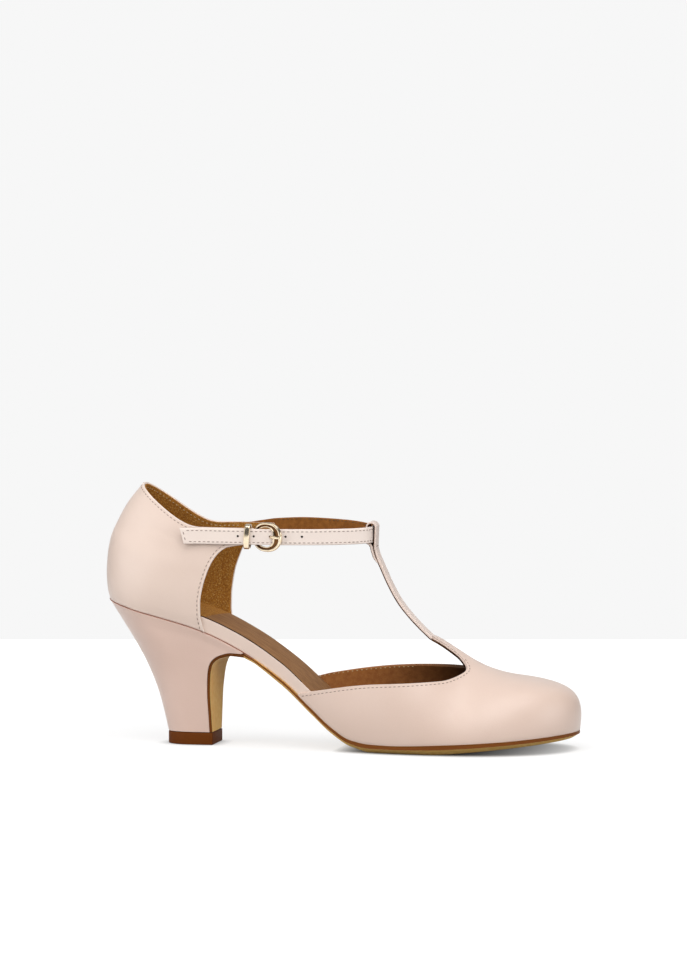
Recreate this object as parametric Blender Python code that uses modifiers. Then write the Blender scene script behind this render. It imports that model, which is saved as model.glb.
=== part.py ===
"""A right-foot T-strap pump with a covered block heel, modelled as separate closed solids.

The toe points along +X, the inner (medial) side of the foot is +Y and the floor is z = 0.
Sizes are in millimetres with x counted from the back of the heel; place() turns a point into
metres about the middle of the shoe's length.
"""

import math

import bmesh
import bpy
import numpy as np
from mathutils import Vector

MM = 0.001
LATERAL = -1
MEDIAL = 1

# Driving dimensions
SHOE_LENGTH = 230.5
HEEL_BACK = 2.3
TOE_TIP = 229.9
SEAT_HEIGHT = 67.1
COLLAR_HEIGHT = 124.5
WALL = 2.0
SEAM_GAP = 0.3

# Round ends of the sole's outline: how far each end reaches and how full its corners are
HEEL_REACH = 23.7
HEEL_POWER = 2.2
TOE_REACH = 52.0
TOE_POWER = 2.1
TOE_DRIFT = 3.0

# The last along the foot: height of the feather line and the half widths of its two sides
LAST = {
    "columns": ("station", "height", "lateral", "medial", "sole", "insole"),
    "rows": (
        (2.3, 67.1, 25.0, 25.0, 1.2, 5.2),
        (27.5, 62.6, 25.0, 25.0, 1.2, 5.6),
        (49.4, 56.4, 24.7, 24.5, 1.2, 6.1),
        (69.7, 46.8, 23.7, 21.9, 1.7, 6.3),
        (89.5, 33.5, 23.7, 20.4, 2.9, 6.5),
        (104.0, 20.7, 25.8, 21.2, 3.2, 6.3),
        (114.5, 11.8, 28.4, 23.2, 3.2, 5.6),
        (124.6, 6.0, 31.0, 26.2, 3.3, 4.6),
        (134.8, 3.6, 33.6, 29.8, 3.5, 3.7),
        (145.0, 3.3, 36.0, 33.0, 3.6, 3.1),
        (164.0, 4.1, 38.0, 37.0, 3.9, 2.6),
        (201.0, 6.75, 37.6, 38.0, 3.3, 2.4),
        (229.9, 9.45, 37.6, 38.0, 2.7, 2.4),
    ),
}

# Ridge of the vamp and instep, from the T-bar down to the toe
RIDGE = {
    "columns": ("station", "height"),
    "rows": (
        (94.0, 66.0),
        (120.0, 63.5),
        (145.0, 59.0),
        (160.7, 53.1),
        (170.1, 47.8),
        (179.1, 42.5),
        (186.5, 39.0),
        (195.1, 36.5),
        (205.0, 34.9),
        (214.0, 33.2),
    ),
}
RIDGE_LEAD = 2.0
RIDGE_END = 205.0
RIDGE_EASE = 3.4
RIDGE_EVEN = 0.15

# Form of the vamp's ribs: how steeply each leaves the sole, leans out and crowns the ridge
VAMP_FORM = {
    "columns": ("station", "rise", "lean", "crown"),
    "rows": (
        (94.0, 0.45, 0.25, 0.80),
        (140.0, 0.45, 0.22, 0.80),
        (160.0, 0.42, 0.18, 0.60),
        (176.0, 0.36, 0.16, 0.34),
        (190.0, 0.45, 0.14, 0.48),
        (210.0, 0.58, 0.12, 0.74),
        (229.9, 0.69, 0.06, 0.92),
    ),
}
THROAT = 176.4
VAMP_REAR = {LATERAL: 98.0, MEDIAL: 94.4}
VAMP_TOPLINE = {
    "columns": ("station", "lateral", "medial"),
    "rows": (
        (94.4, 26.2, 29.9),
        (98.0, 26.9, 31.0),
        (105.4, 28.3, 32.8),
        (135.0, 32.8, 36.5),
        (154.4, 33.9, 37.2),
        (167.6, 34.6, 37.6),
        (173.6, 35.4, 38.3),
        (176.4, 37.3, 39.6),
    ),
}
TAB_SEAM = 160.5
TAB = {
    "columns": ("station", "half"),
    "rows": (
        (160.5, 4.0),
        (166.0, 4.4),
        (171.0, 5.3),
        (174.3, 7.0),
        (175.7, 8.6),
        (176.4, 11.0),
    ),
}

# Quarter: profile of the heel's back, topline, front edges and the swell of its side walls
BACK = {
    "columns": ("height", "station"),
    "rows": (
        (67.1, 2.3),
        (74.0, 0.6),
        (82.0, 0.0),
        (90.0, 0.4),
        (98.3, 1.8),
        (107.5, 5.7),
        (115.2, 10.0),
        (124.5, 17.4),
    ),
}
COLLAR = {
    "columns": ("station", "lateral", "medial"),
    "rows": (
        (17.4, 124.5, 124.5),
        (23.3, 119.8, 119.6),
        (28.8, 115.8, 115.2),
        (34.7, 111.8, 110.6),
        (40.5, 108.4, 106.8),
        (44.9, 106.6, 104.8),
        (49.9, 105.8, 104.0),
        (63.0, 105.7, 103.9),
    ),
}
FRONT_EDGE = {
    "columns": ("height", "lateral", "medial"),
    "rows": (
        (52.0, 53.6, 57.6),
        (58.5, 51.2, 55.2),
        (64.0, 50.4, 54.6),
        (70.0, 50.5, 54.6),
        (76.0, 51.4, 55.2),
        (83.4, 53.5, 56.6),
        (89.7, 56.2, 58.8),
        (94.6, 60.0, 61.0),
        (96.6, 63.0, 63.0),
    ),
}
SWELL = {
    "columns": ("share", "swell"),
    "rows": (
        (0.0, 0.0),
        (0.15, 1.7),
        (0.35, 2.6),
        (0.55, 2.2),
        (0.72, 0.6),
        (0.81, 0.0),
        (1.0, 0.0),
    ),
}
QUARTER_FOOT_HEIGHT = 55.0
COLLAR_REACH = 44.0
SIDE_TAB_ROOT = 63.0
SIDE_TAB_ROOT_HEIGHT = 96.6
SIDE_TAB_END = 76.2
SIDE_TAB_END_HEIGHT = 98.2
SIDE_DROP = {LATERAL: 0.0, MEDIAL: 1.8}

# Band round the open waist, set into the walls of the vamp and quarter
RAND_REAR = 46.0
RAND_FRONT = 110.0
RAND_HEIGHT = {LATERAL: (6.6, 7.5), MEDIAL: (6.1, 7.0)}
RAND_INSET = 0.7
RAND_LEAN = 0.22
RAND_WALL = 1.1

# Heel: back line, and the breast line with its half width from the floor end to the lip
HEEL_BASE = 6.1
HEEL_LINE = {
    "columns": ("height", "station"),
    "rows": (
        (6.1, 29.8),
        (13.3, 28.2),
        (24.8, 25.2),
        (36.2, 20.6),
        (47.6, 14.5),
        (59.0, 7.2),
        (67.1, 2.3),
    ),
}
BREAST = {
    "columns": ("share", "station", "height", "half"),
    "rows": (
        (0.0, 51.8, 6.1, 11.3),
        (0.15, 51.7, 14.2, 13.2),
        (0.31, 51.6, 22.6, 15.2),
        (0.51, 52.2, 33.4, 17.8),
        (0.62, 53.6, 39.5, 19.5),
        (0.69, 55.9, 42.4, 20.3),
        (0.77, 59.3, 44.3, 21.0),
        (0.88, 64.5, 45.5, 21.6),
        (1.0, 71.0, 45.2, 22.4),
    ),
}
HEEL_BASE_REACH = 13.0
SEAT_FLARE = 6

# Sole edge: depth of its upright part and how far the tread is bevelled in
EDGE_DEPTH = 0.45
TREAD_BEVEL = 2.4
WAIST_START = 76.0
FLAP_BEVEL = 0.5
INSOLE_CLEARANCE = 0.4
TOP_PIECE_HEIGHT = 5.8

# Straps and buckle
STRAP_LOW = 98.05
STRAP_HIGH = 105.65
STRAP_THICK = 1.7
STRAP_BEND = 60.0
STRAP_HALF = 25.0
STRAP_REACH = 69.3
STRAP_POWER = 2.3
STRAP_TIP_HIGH = 40.9
STRAP_TIP_LOW = 43.1
STRAP_SEWN_END = 54.0
STRAP_EASE = 30.0
STRAP_BOW = 1.2
T_WIDTH = 7.4
T_THICK = 1.3
T_FOLD_HEIGHT = 105.4
T_FRONT = {
    "columns": ("height", "station"),
    "rows": (
        (52.75, 159.7),
        (58.4, 152.9),
        (64.2, 146.9),
        (70.0, 142.3),
        (78.6, 137.4),
        (86.5, 134.1),
        (93.0, 132.0),
        (98.0, 131.6),
        (105.4, 131.6),
    ),
}
T_TAIL = {
    "columns": ("height", "depth"),
    "rows": (
        (93.5, 2.6),
        (89.0, 2.3),
    ),
}
SLOT_CLEARANCE = 0.35
FRAME_BAR = 77.6
FRAME_WIRE = 0.9
FRAME_HALF_HEIGHT = 6.1
FRAME_HALF_LENGTH = 6.3
FRAME_TILT = math.radians(17.0)
FRAME_ROUND = 2.2
FRAME_SQUARE = 4.0
PRONG_WIRE = 0.65
PRONG_HOLE = 83.4
PRONG_HOLE_RADIUS = 1.75
PRONG_HOLE_DEPTH = 10.0
PRONG_LEAD = 1.6
PRONG_RISE = 0.5
PRONG_OVERHANG = 0.4
KEEPER_STATION = 73.5
KEEPER_WIDTH = 3.2
KEEPER_THICK = 1.1
KEEPER_HALF_HEIGHT = 6.1
KEEPER_SQUARE = 5.0

# Mesh density
WELD = 0.02
SOLVE_STEPS = 40
ROUND_STEPS = 9
WAIST_STEPS = 31
TOE_STEPS = 14
VAMP_REAR_STATIONS = [100.5, 104.0]
VAMP_SIDE_STATIONS = (109.0, 154.0, 9)
VAMP_THROAT_STATIONS = [162.0, 165.5, 168.5, 171.2, 173.4, 175.0, 176.0]
VAMP_FAN_START = 2.0
RIB_ROWS = 9
TAB_ROWS = 5
TOE_SPLIT = 0.7
QUARTER_COLUMNS = 15
QUARTER_ROWS = 13
SIDE_TAB_ROWS = 3
SIDE_TAB_COLUMNS = 4
END_SPREAD = 1.75
RAND_COLUMNS = 23
RAND_ROWS = 4
HEEL_SHARES = (0.0, 0.12, 0.24, 0.36, 0.46, 0.55, 0.62, 0.69, 0.77, 0.83, 0.88, 0.93, 0.97, 1.0)
FLAP_SHARES = (1.0, 0.94, 0.88, 0.82, 0.77, 0.73, 0.69, 0.655, 0.62, 0.57, 0.51, 0.4, 0.2, 0.0)
STRAP_STEPS = 45
STRAP_TIP_STEPS = 6
T_FRONT_STEPS = 22
T_BACK_STEPS = 16
FRAME_STEPS = 41
KEEPER_STEPS = 25


class Profile:
    """A smooth curve through one column of a table that never swings past its rows."""

    def __init__(self, table, name):
        column = table["columns"].index(name)
        self.at = [row[0] for row in table["rows"]]
        self.value = [row[column] for row in table["rows"]]
        self.step = np.diff(self.at)
        self.rise = np.diff(self.value) / self.step
        self.grade = [self.rise[0]]
        for i in range(1, len(self.at) - 1):
            self.grade.append(self.middle_grade(i))
        self.grade.append(self.rise[-1])

    def middle_grade(self, i):
        before, after = self.rise[i - 1], self.rise[i]
        if before * after <= 0.0:
            return 0.0
        weight_before = 2.0 * self.step[i] + self.step[i - 1]
        weight_after = self.step[i] + 2.0 * self.step[i - 1]
        return (weight_before + weight_after) / (weight_before / before + weight_after / after)

    def __call__(self, station):
        station = min(max(station, self.at[0]), self.at[-1])
        i = min(int(np.searchsorted(self.at, station, side="right")) - 1, len(self.step) - 1)
        h = self.step[i]
        t = (station - self.at[i]) / h
        start = (1 + 2 * t) * (1 - t) ** 2 * self.value[i] + t * (1 - t) ** 2 * h * self.grade[i]
        end = t * t * (3 - 2 * t) * self.value[i + 1] + t * t * (t - 1) * h * self.grade[i + 1]
        return float(start + end)

    def slope(self, station):
        step = 0.25
        return (self(station + step) - self(station - step)) / (2.0 * step)


feather_height = Profile(LAST, "height")
sole_thickness = Profile(LAST, "sole")
insole_thickness = Profile(LAST, "insole")
side_width = {LATERAL: Profile(LAST, "lateral"), MEDIAL: Profile(LAST, "medial")}
ridge_height = Profile(RIDGE, "height")
rib_rise = Profile(VAMP_FORM, "rise")
rib_lean = Profile(VAMP_FORM, "lean")
rib_crown = Profile(VAMP_FORM, "crown")
vamp_topline = {LATERAL: Profile(VAMP_TOPLINE, "lateral"), MEDIAL: Profile(VAMP_TOPLINE, "medial")}
tab_half = Profile(TAB, "half")
back_station = Profile(BACK, "station")
collar_height = {LATERAL: Profile(COLLAR, "lateral"), MEDIAL: Profile(COLLAR, "medial")}
front_station = {LATERAL: Profile(FRONT_EDGE, "lateral"), MEDIAL: Profile(FRONT_EDGE, "medial")}
wall_swell = Profile(SWELL, "swell")
heel_station = Profile(HEEL_LINE, "station")
breast_station = Profile(BREAST, "station")
breast_height = Profile(BREAST, "height")
breast_half = Profile(BREAST, "half")
t_front_station = Profile(T_FRONT, "station")


def mix(first, second, share):
    return first + (second - first) * share


def spread(first, last, count):
    """Evenly spaced values from first to last, both included."""
    return [mix(first, last, i / (count - 1)) for i in range(count)]


def round_end(reach, power):
    """Half width of a round end, as a share of the full one, at a share of its reach."""
    inward = 1.0 - min(max(reach, 0.0), 1.0)
    return max(0.0, 1.0 - inward**power) ** (1.0 / power)


def place(point):
    """Metres in the part's frame, whose origin is under the middle of the shoe."""
    x, y, z = point
    return Vector(((x - SHOE_LENGTH / 2.0) * MM, y * MM, z * MM))


# Feather line


def toe_drift(x):
    """Sideways lean of the toe toward the medial side."""
    return TOE_DRIFT * max(0.0, (x - TOE_TIP + TOE_REACH) / TOE_REACH) ** 2


def feather_half(side, x):
    heel = round_end((x - HEEL_BACK) / HEEL_REACH, HEEL_POWER)
    toe = round_end((TOE_TIP - x) / TOE_REACH, TOE_POWER)
    return side_width[side](x) * heel * toe


def feather_point(side, x):
    return Vector((x, side * feather_half(side, x) + toe_drift(x), feather_height(x)))


def toe_stations():
    """Stations round the toe, closer together toward its tip."""
    angles = spread(0.0, math.pi / 2.0, TOE_STEPS + 1)
    return [TOE_TIP - TOE_REACH * (1.0 - math.sin(angle)) for angle in angles]


def outline_normals(points, side):
    """Outward directions in plan along one side of an outline that runs toward the toe."""
    normals = []
    for i in range(len(points)):
        along = points[min(i + 1, len(points) - 1)] - points[max(i - 1, 0)]
        out = Vector((-side * along.y, side * along.x, 0.0))
        normals.append(out.normalized())
    return normals


# Mesh building


def make_object(name, bm, material):
    """Finish a mesh, put it in the part's collection and give it its material."""
    mesh = bpy.data.meshes.new(name)
    bm.to_mesh(mesh)
    bm.free()
    return add_part(name, mesh, material)


def add_part(name, data, material):
    part = bpy.data.objects.new(name, data)
    parts.objects.link(part)
    part.parent = root
    data.materials.append(material)
    return part


def sheet(bm, rows):
    """Quads between neighbouring rows of points; rows may share points."""
    lines = [[bm.verts.new(place(point)) for point in row] for row in rows]
    for first, second in zip(lines, lines[1:]):
        for i in range(len(first) - 1):
            bm.faces.new((first[i], first[i + 1], second[i + 1], second[i]))


def weld(bm):
    bmesh.ops.remove_doubles(bm, verts=bm.verts, dist=WELD * MM)


def loft(name, rings, material, last_cap):
    """A solid through closed rings; the first ring is a line and needs no cap.

    last_cap lists the pairs of ring places that are bridged to close the last ring.
    """
    bm = bmesh.new()
    count = len(rings[0])
    lines = [[bm.verts.new(place(point)) for point in ring] for ring in rings]
    for first, second in zip(lines, lines[1:]):
        for i in range(count):
            j = (i + 1) % count
            bm.faces.new((first[i], first[j], second[j], second[i]))
    for (a, b), (c, d) in zip(last_cap, last_cap[1:]):
        bm.faces.new((lines[-1][a], lines[-1][b], lines[-1][d], lines[-1][c]))
    weld(bm)
    bmesh.ops.recalc_face_normals(bm, faces=bm.faces)
    return make_object(name, bm, material)


def solidify(part, thickness, offset):
    modifier = part.modifiers.new("Wall", "SOLIDIFY")
    modifier.thickness = thickness * MM
    modifier.offset = offset
    modifier.use_rim = True
    return modifier


def boolean(part, other, operation):
    modifier = part.modifiers.new(other.name, "BOOLEAN")
    modifier.operation = operation
    modifier.solver = "EXACT"
    modifier.object = other
    other.hide_render = True
    other.display_type = "WIRE"
    parts.objects.unlink(other)
    cutters.objects.link(other)


def material(name, colour, roughness, metallic=0.0):
    surface = bpy.data.materials.new(name)
    surface.use_nodes = True
    shader = surface.node_tree.nodes["Principled BSDF"]
    shader.inputs["Base Color"].default_value = (*colour, 1.0)
    shader.inputs["Roughness"].default_value = roughness
    shader.inputs["Metallic"].default_value = metallic
    return surface


# Vamp


def ridge_station(x):
    """Where the rib that starts at a station of the feather line meets the ridge."""
    if x <= THROAT:
        return x + RIDGE_LEAD
    start = THROAT + RIDGE_LEAD
    turn = math.asin(min(1.0, (x - THROAT) / (TOE_TIP - THROAT))) / (math.pi / 2.0)
    ease = 1.0 - (1.0 - turn) ** RIDGE_EASE
    return mix(start, RIDGE_END, mix(ease, turn, RIDGE_EVEN))


def rib_controls(foot, outward):
    """Control points of the rib that rises from the feather line to the ridge."""
    ridge_x = ridge_station(foot.x)
    top = Vector((ridge_x, toe_drift(ridge_x), ridge_height(ridge_x)))
    climb = Vector((0.0, 0.0, 1.0)) + rib_lean(foot.x) * outward
    low = foot + rib_rise(foot.x) * (top.z - foot.z) * climb
    back = rib_crown(foot.x) * (foot - top)
    high = top + Vector((back.x, back.y, ridge_height.slope(ridge_x) * back.x))
    return foot, low, high, top


def rib_point(rib, t):
    foot, low, high, top = rib
    s = 1.0 - t
    return s**3 * foot + 3 * s * s * t * low + 3 * s * t * t * high + t**3 * top


def solve_rib(rib, above):
    """Share of the rib at which a rising measure passes zero."""
    low, high = 0.0, 1.0
    for _ in range(SOLVE_STEPS):
        middle = (low + high) / 2.0
        if above(rib_point(rib, middle)):
            high = middle
        else:
            low = middle
    return high


def vamp_stations(side):
    """Feather stations from the rear corner to the toe, closer together round the throat."""
    rear = [VAMP_REAR[side]] + VAMP_REAR_STATIONS
    middle = spread(*VAMP_SIDE_STATIONS)
    throat = [TAB_SEAM - RIDGE_LEAD] + VAMP_THROAT_STATIONS + [THROAT]
    fan = [x for x in toe_stations() if x > THROAT + VAMP_FAN_START]
    return rear + middle + throat + fan


def vamp_ribs(side):
    feet = [feather_point(side, x) for x in vamp_stations(side)]
    normals = outline_normals(feet, side)
    normals[-1] = Vector((1.0, 0.0, 0.0))
    return [rib_controls(foot, out) for foot, out in zip(feet, normals)]


def vamp_rows(side):
    """Rows of the lower wall, of the toe above it and of the tab, each from the rear forward."""
    topline = vamp_topline[side]
    lower, toe, tab = [], [], []
    split = 1.0
    for x, rib in zip(vamp_stations(side), vamp_ribs(side)):
        if x <= THROAT:
            split = solve_rib(rib, lambda p: p.z > topline(p.x))
        crease = mix(split, TOE_SPLIT, max(0.0, (x - THROAT) / (TOE_TIP - THROAT)))
        lower.append([rib_point(rib, t) for t in spread(0.0, crease, RIB_ROWS)])
        if x >= THROAT:
            toe.append([rib_point(rib, t) for t in spread(crease, 1.0, TAB_ROWS)])
        if TAB_SEAM - RIDGE_LEAD <= x < THROAT:
            edge = solve_rib(rib, lambda p: abs(p.y) < tab_half(p.x))
            tab.append([rib_point(rib, t) for t in spread(edge, 1.0, TAB_ROWS)])
    return lower, tab + toe


def build_vamp(leather):
    bm = bmesh.new()
    for side in (LATERAL, MEDIAL):
        for rows in vamp_rows(side):
            sheet(bm, rows if side == LATERAL else rows[::-1])
    weld(bm)
    bmesh.ops.reverse_faces(bm, faces=bm.faces)
    vamp = make_object("vamp", bm, leather)
    solidify(vamp, WALL, -1.0)
    return vamp


# Quarter and waist band


def patch_point(a, b, bottom, top, rear, front):
    """Point of a side-view patch spanned by four edges; a runs forward and b upward."""
    spanned = mix(bottom(a), top(a), b) + mix(rear(b), front(b), a)
    corners = mix(mix(bottom(0.0), bottom(1.0), a), mix(top(0.0), top(1.0), a), b)
    return spanned - corners


def strap_share(x):
    """Half width of the strap's path, as a share of that at its bend."""
    return round_end(1.0 - (x - STRAP_BEND) / STRAP_REACH, STRAP_POWER)


def quarter_edges(side):
    front_x = front_station[side]
    foot_x = front_x(QUARTER_FOOT_HEIGHT)
    root_row = 1.0 - SIDE_TAB_ROWS / (QUARTER_ROWS - 1)
    root_height = SIDE_TAB_ROOT_HEIGHT - SIDE_DROP[side]

    def bottom(a):
        x = mix(HEEL_BACK, foot_x, a)
        return np.array((x, feather_height(x)))

    def top(a):
        x = mix(back_station(COLLAR_HEIGHT), SIDE_TAB_ROOT, a)
        return np.array((x, collar_height[side](x)))

    def rear(b):
        z = mix(SEAT_HEIGHT, COLLAR_HEIGHT, b)
        return np.array((back_station(z), z))

    def front(b):
        if b > root_row:
            share = (b - root_row) / (1.0 - root_row)
            return np.array((SIDE_TAB_ROOT, mix(root_height, top(1.0)[1], share)))
        share = b / root_row
        z = mix(feather_height(foot_x), root_height, share)
        return np.array((front_x(z + SIDE_DROP[side] * share) if b > 0.0 else foot_x, z))

    return bottom, top, rear, front


def quarter_point(side, edges, a, b):
    x, z = patch_point(a, b, *edges)
    reach = (x - edges[2](b)[0]) / mix(HEEL_REACH, COLLAR_REACH, b)
    half = mix(side_width[side](x), STRAP_HALF, b) + wall_swell(b)
    return Vector((x, side * half * round_end(reach, HEEL_POWER), z))


def quarter_rows(side):
    edges = quarter_edges(side)
    rows = []
    for i in range(QUARTER_COLUMNS):
        a = (i / (QUARTER_COLUMNS - 1)) ** END_SPREAD
        rows.append([quarter_point(side, edges, a, b) for b in spread(0.0, 1.0, QUARTER_ROWS)])
    return rows


def side_tab_rows(side, root_line):
    """The tab under the ankle strap, carried on from the quarter's top front corner."""
    high = root_line[-1].z
    rows = [root_line]
    for x in spread(SIDE_TAB_ROOT, SIDE_TAB_END, SIDE_TAB_COLUMNS)[1:]:
        share = (x - SIDE_TAB_ROOT) / (SIDE_TAB_END - SIDE_TAB_ROOT)
        low = mix(SIDE_TAB_ROOT_HEIGHT, SIDE_TAB_END_HEIGHT, math.sin(share * math.pi / 2.0))
        low -= SIDE_DROP[side]
        y = side * STRAP_HALF * strap_share(x)
        rows.append([Vector((x, y, z)) for z in spread(low, high, SIDE_TAB_ROWS + 1)])
    return rows


def build_quarter(leather):
    bm = bmesh.new()
    for side in (LATERAL, MEDIAL):
        rows = quarter_rows(side)
        tab = side_tab_rows(side, rows[-1][-SIDE_TAB_ROWS - 1:])
        for part in (rows, tab):
            sheet(bm, part if side == LATERAL else part[::-1])
    weld(bm)
    bmesh.ops.reverse_faces(bm, faces=bm.faces)
    quarter = make_object("upper", bm, leather)
    solidify(quarter, WALL, -1.0)
    return quarter


def build_rand(side, leather):
    """Band that covers the edge of the waist, inside the walls at both of its ends."""
    bm = bmesh.new()
    rows = []
    for x in spread(RAND_REAR, RAND_FRONT, RAND_COLUMNS):
        foot = feather_point(side, x)
        line = []
        height = mix(*RAND_HEIGHT[side], (x - RAND_REAR) / (RAND_FRONT - RAND_REAR))
        for rise in spread(0.0, height, RAND_ROWS):
            out = side * (RAND_LEAN * rise - RAND_INSET)
            line.append(foot + Vector((0.0, out, rise)))
        rows.append(line)
    sheet(bm, rows if side == LATERAL else rows[::-1])
    bmesh.ops.reverse_faces(bm, faces=bm.faces)
    name = "rand_lateral" if side == LATERAL else "rand_medial"
    rand = make_object(name, bm, leather)
    solidify(rand, RAND_WALL, -1.0)
    return rand


def build_upper(leather):
    upper = build_quarter(leather)
    vamp = build_vamp(leather)
    bands = [build_rand(side, leather) for side in (LATERAL, MEDIAL)]
    for other in bands + [vamp]:
        boolean(upper, other, "UNION")
    return upper


# Heel and top piece


def heel_edges():
    def bottom(a):
        return np.array((mix(heel_station(HEEL_BASE), breast_station(0.0), a), HEEL_BASE))

    def top(a):
        x = mix(HEEL_BACK, breast_station(1.0), a)
        return np.array((x, feather_height(x) - SEAM_GAP))

    def rear(b):
        z = mix(HEEL_BASE, SEAT_HEIGHT - SEAM_GAP, b)
        return np.array((heel_station(mix(HEEL_BASE, SEAT_HEIGHT, b)), z))

    def front(b):
        lip = top(1.0)[1] - breast_height(1.0)
        return np.array((breast_station(b), breast_height(b) + lip * (b >= 1.0)))

    return bottom, top, rear, front


def heel_point(side, edges, a, b):
    x, z = patch_point(a, b, *edges)
    reach = (x - edges[2](b)[0]) / mix(HEEL_BASE_REACH, HEEL_REACH, b)
    flare = (side_width[side](x) - breast_half(1.0)) * b**SEAT_FLARE
    half = breast_half(b) + flare
    return Vector((x, side * half * round_end(reach, HEEL_POWER), z))


def build_heel(leather):
    edges = heel_edges()
    rings = []
    for i in range(QUARTER_COLUMNS):
        a = (i / (QUARTER_COLUMNS - 1)) ** END_SPREAD
        lateral = [heel_point(LATERAL, edges, a, b) for b in HEEL_SHARES]
        medial = [heel_point(MEDIAL, edges, a, b) for b in HEEL_SHARES]
        rings.append(lateral + medial[::-1])
    count = len(rings[0])
    pairs = [(i, count - 1 - i) for i in range(len(HEEL_SHARES))]
    return loft("heel", rings, leather, pairs)


def flat_outline(name, outlines, thickness, surface):
    """A flat solid from closed outlines, the first around the others."""
    curve = bpy.data.curves.new(name, "CURVE")
    curve.dimensions = "2D"
    curve.fill_mode = "BOTH"
    curve.extrude = thickness * MM / 2.0
    for outline in outlines:
        spline = curve.splines.new("POLY")
        spline.points.add(len(outline) - 1)
        for point, (u, v) in zip(spline.points, outline):
            point.co = (u * MM, v * MM, 0.0, 1.0)
        spline.use_cyclic_u = True
    return add_part(name, curve, surface)


def build_top_piece(rubber):
    rear = heel_station(HEEL_BASE)
    front = breast_station(0.0) + SEAM_GAP + sole_thickness(HEEL_BACK)
    half = breast_half(0.0)
    side = []
    for turn in spread(0.0, math.pi / 2.0, ROUND_STEPS):
        reach = 1.0 - math.cos(turn)
        side.append((rear + HEEL_BASE_REACH * reach, half * round_end(reach, HEEL_POWER)))
    side.append((front, half))
    outline = side + [(x, -y) for x, y in side[:0:-1]]
    piece = flat_outline("top_piece", [outline], TOP_PIECE_HEIGHT, rubber)
    piece.location = place((0.0, 0.0, TOP_PIECE_HEIGHT / 2.0))
    return piece


# Outsole and insole


def outline_stations(first):
    """Stations from the heel end of an outline to the toe, closer together round its ends."""
    turns = spread(0.0, math.pi / 2.0, ROUND_STEPS)
    heel = [HEEL_BACK + HEEL_REACH * (1.0 - math.cos(turn)) for turn in turns]
    waist = spread(HEEL_BACK + HEEL_REACH, TOE_TIP - TOE_REACH, WAIST_STEPS)[1:-1]
    return [x for x in heel + waist + toe_stations() if x >= first]


def side_lines(stations, inset):
    """Lateral and medial points of the feather outline, moved in by an inset."""
    lines = []
    for side in (LATERAL, MEDIAL):
        points = [feather_point(side, x) for x in stations]
        normals = outline_normals(points, side)
        normals[-1] = Vector((1.0, 0.0, 0.0))
        if stations[0] == HEEL_BACK:
            normals[0] = Vector((-1.0, 0.0, 0.0))
        lines.append([point - inset * out for point, out in zip(points, normals)])
    return lines


def sole_ring(upper_pair, lower_pair, lift, edge_depth):
    """Ring round a sole's section: its top, its upright edges and its narrower tread."""
    (left, right), (left_low, right_low) = upper_pair, lower_pair
    edge = lift * edge_depth
    return [left, right, right + edge, right_low, left_low, left + edge]


def forefoot_rings():
    """Sections of the outsole from the toe back to the start of the waist."""
    stations = outline_stations(WAIST_START)
    outer = side_lines(stations, 0.0)
    tread = side_lines(stations, TREAD_BEVEL)
    rings = []
    for i in reversed(range(len(stations))):
        drop = Vector((0.0, 0.0, SEAM_GAP))
        left, right = outer[0][i] - drop, outer[1][i] - drop
        low = []
        for point in (tread[0][i], tread[1][i]):
            inner = feather_height(point.x) - SEAM_GAP - sole_thickness(point.x)
            low.append(Vector((point.x, point.y, max(0.0, inner))))
        depth = Vector((0.0, 0.0, (low[0].z + low[1].z) / 2.0 - left.z))
        rings.append(sole_ring((left, right), low, depth, EDGE_DEPTH))
    return rings


def flap_rings():
    """Sections of the sole that go on under the heel's lip and down its breast."""
    rings = []
    step = 0.01
    for share in FLAP_SHARES:
        ahead, behind = min(1.0, share + step), max(0.0, share - step)
        along = Vector((breast_station(ahead) - breast_station(behind), 0.0,
                        breast_height(ahead) - breast_height(behind)))
        out = Vector((along.z, 0.0, -along.x)).normalized()
        base = Vector((breast_station(share), 0.0, breast_height(share))) + SEAM_GAP * out
        thick = sole_thickness(base.x) * out
        half = Vector((0.0, breast_half(share), 0.0))
        bevel = Vector((0.0, FLAP_BEVEL * sole_thickness(base.x), 0.0))
        low = (base - half + bevel + thick, base + half - bevel + thick)
        rings.append(sole_ring((base - half, base + half), low, thick, EDGE_DEPTH))
    return rings


def build_outsole(sole_leather):
    rings = forefoot_rings() + flap_rings()
    return loft("outsole", rings, sole_leather, [(0, 1), (5, 2), (4, 3)])


def build_insole(sock):
    stations = outline_stations(HEEL_BACK)
    lateral, medial = side_lines(stations, WALL + INSOLE_CLEARANCE)
    rings = []
    for left, right in zip(lateral, medial):
        pair = []
        for point in (left, right):
            pair.append(Vector((point.x, point.y, feather_height(point.x))))
        left_low, right_low = pair
        rise = Vector((0.0, 0.0, insole_thickness(left.x)))
        rings.append([left_low, right_low, right_low + rise, left_low + rise])
    return loft("insole", rings, sock, [])


# Straps and buckle


def strap_path():
    """Plan of the ankle strap's middle from its free tip round the front to its sewn end."""
    half = STRAP_HALF + SEAM_GAP + STRAP_THICK / 2.0
    path = [(x, -half) for x in spread(STRAP_TIP_HIGH, STRAP_BEND, STRAP_TIP_STEPS)[:-1]]
    for turn in spread(0.0, math.pi, STRAP_STEPS):
        ahead = math.sin(turn) ** (2.0 / STRAP_POWER)
        across = math.copysign(abs(math.cos(turn)) ** (2.0 / STRAP_POWER), -math.cos(turn))
        path.append((STRAP_BEND + STRAP_REACH * ahead, half * across))
    path.append((STRAP_SEWN_END, half))
    return path


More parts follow.
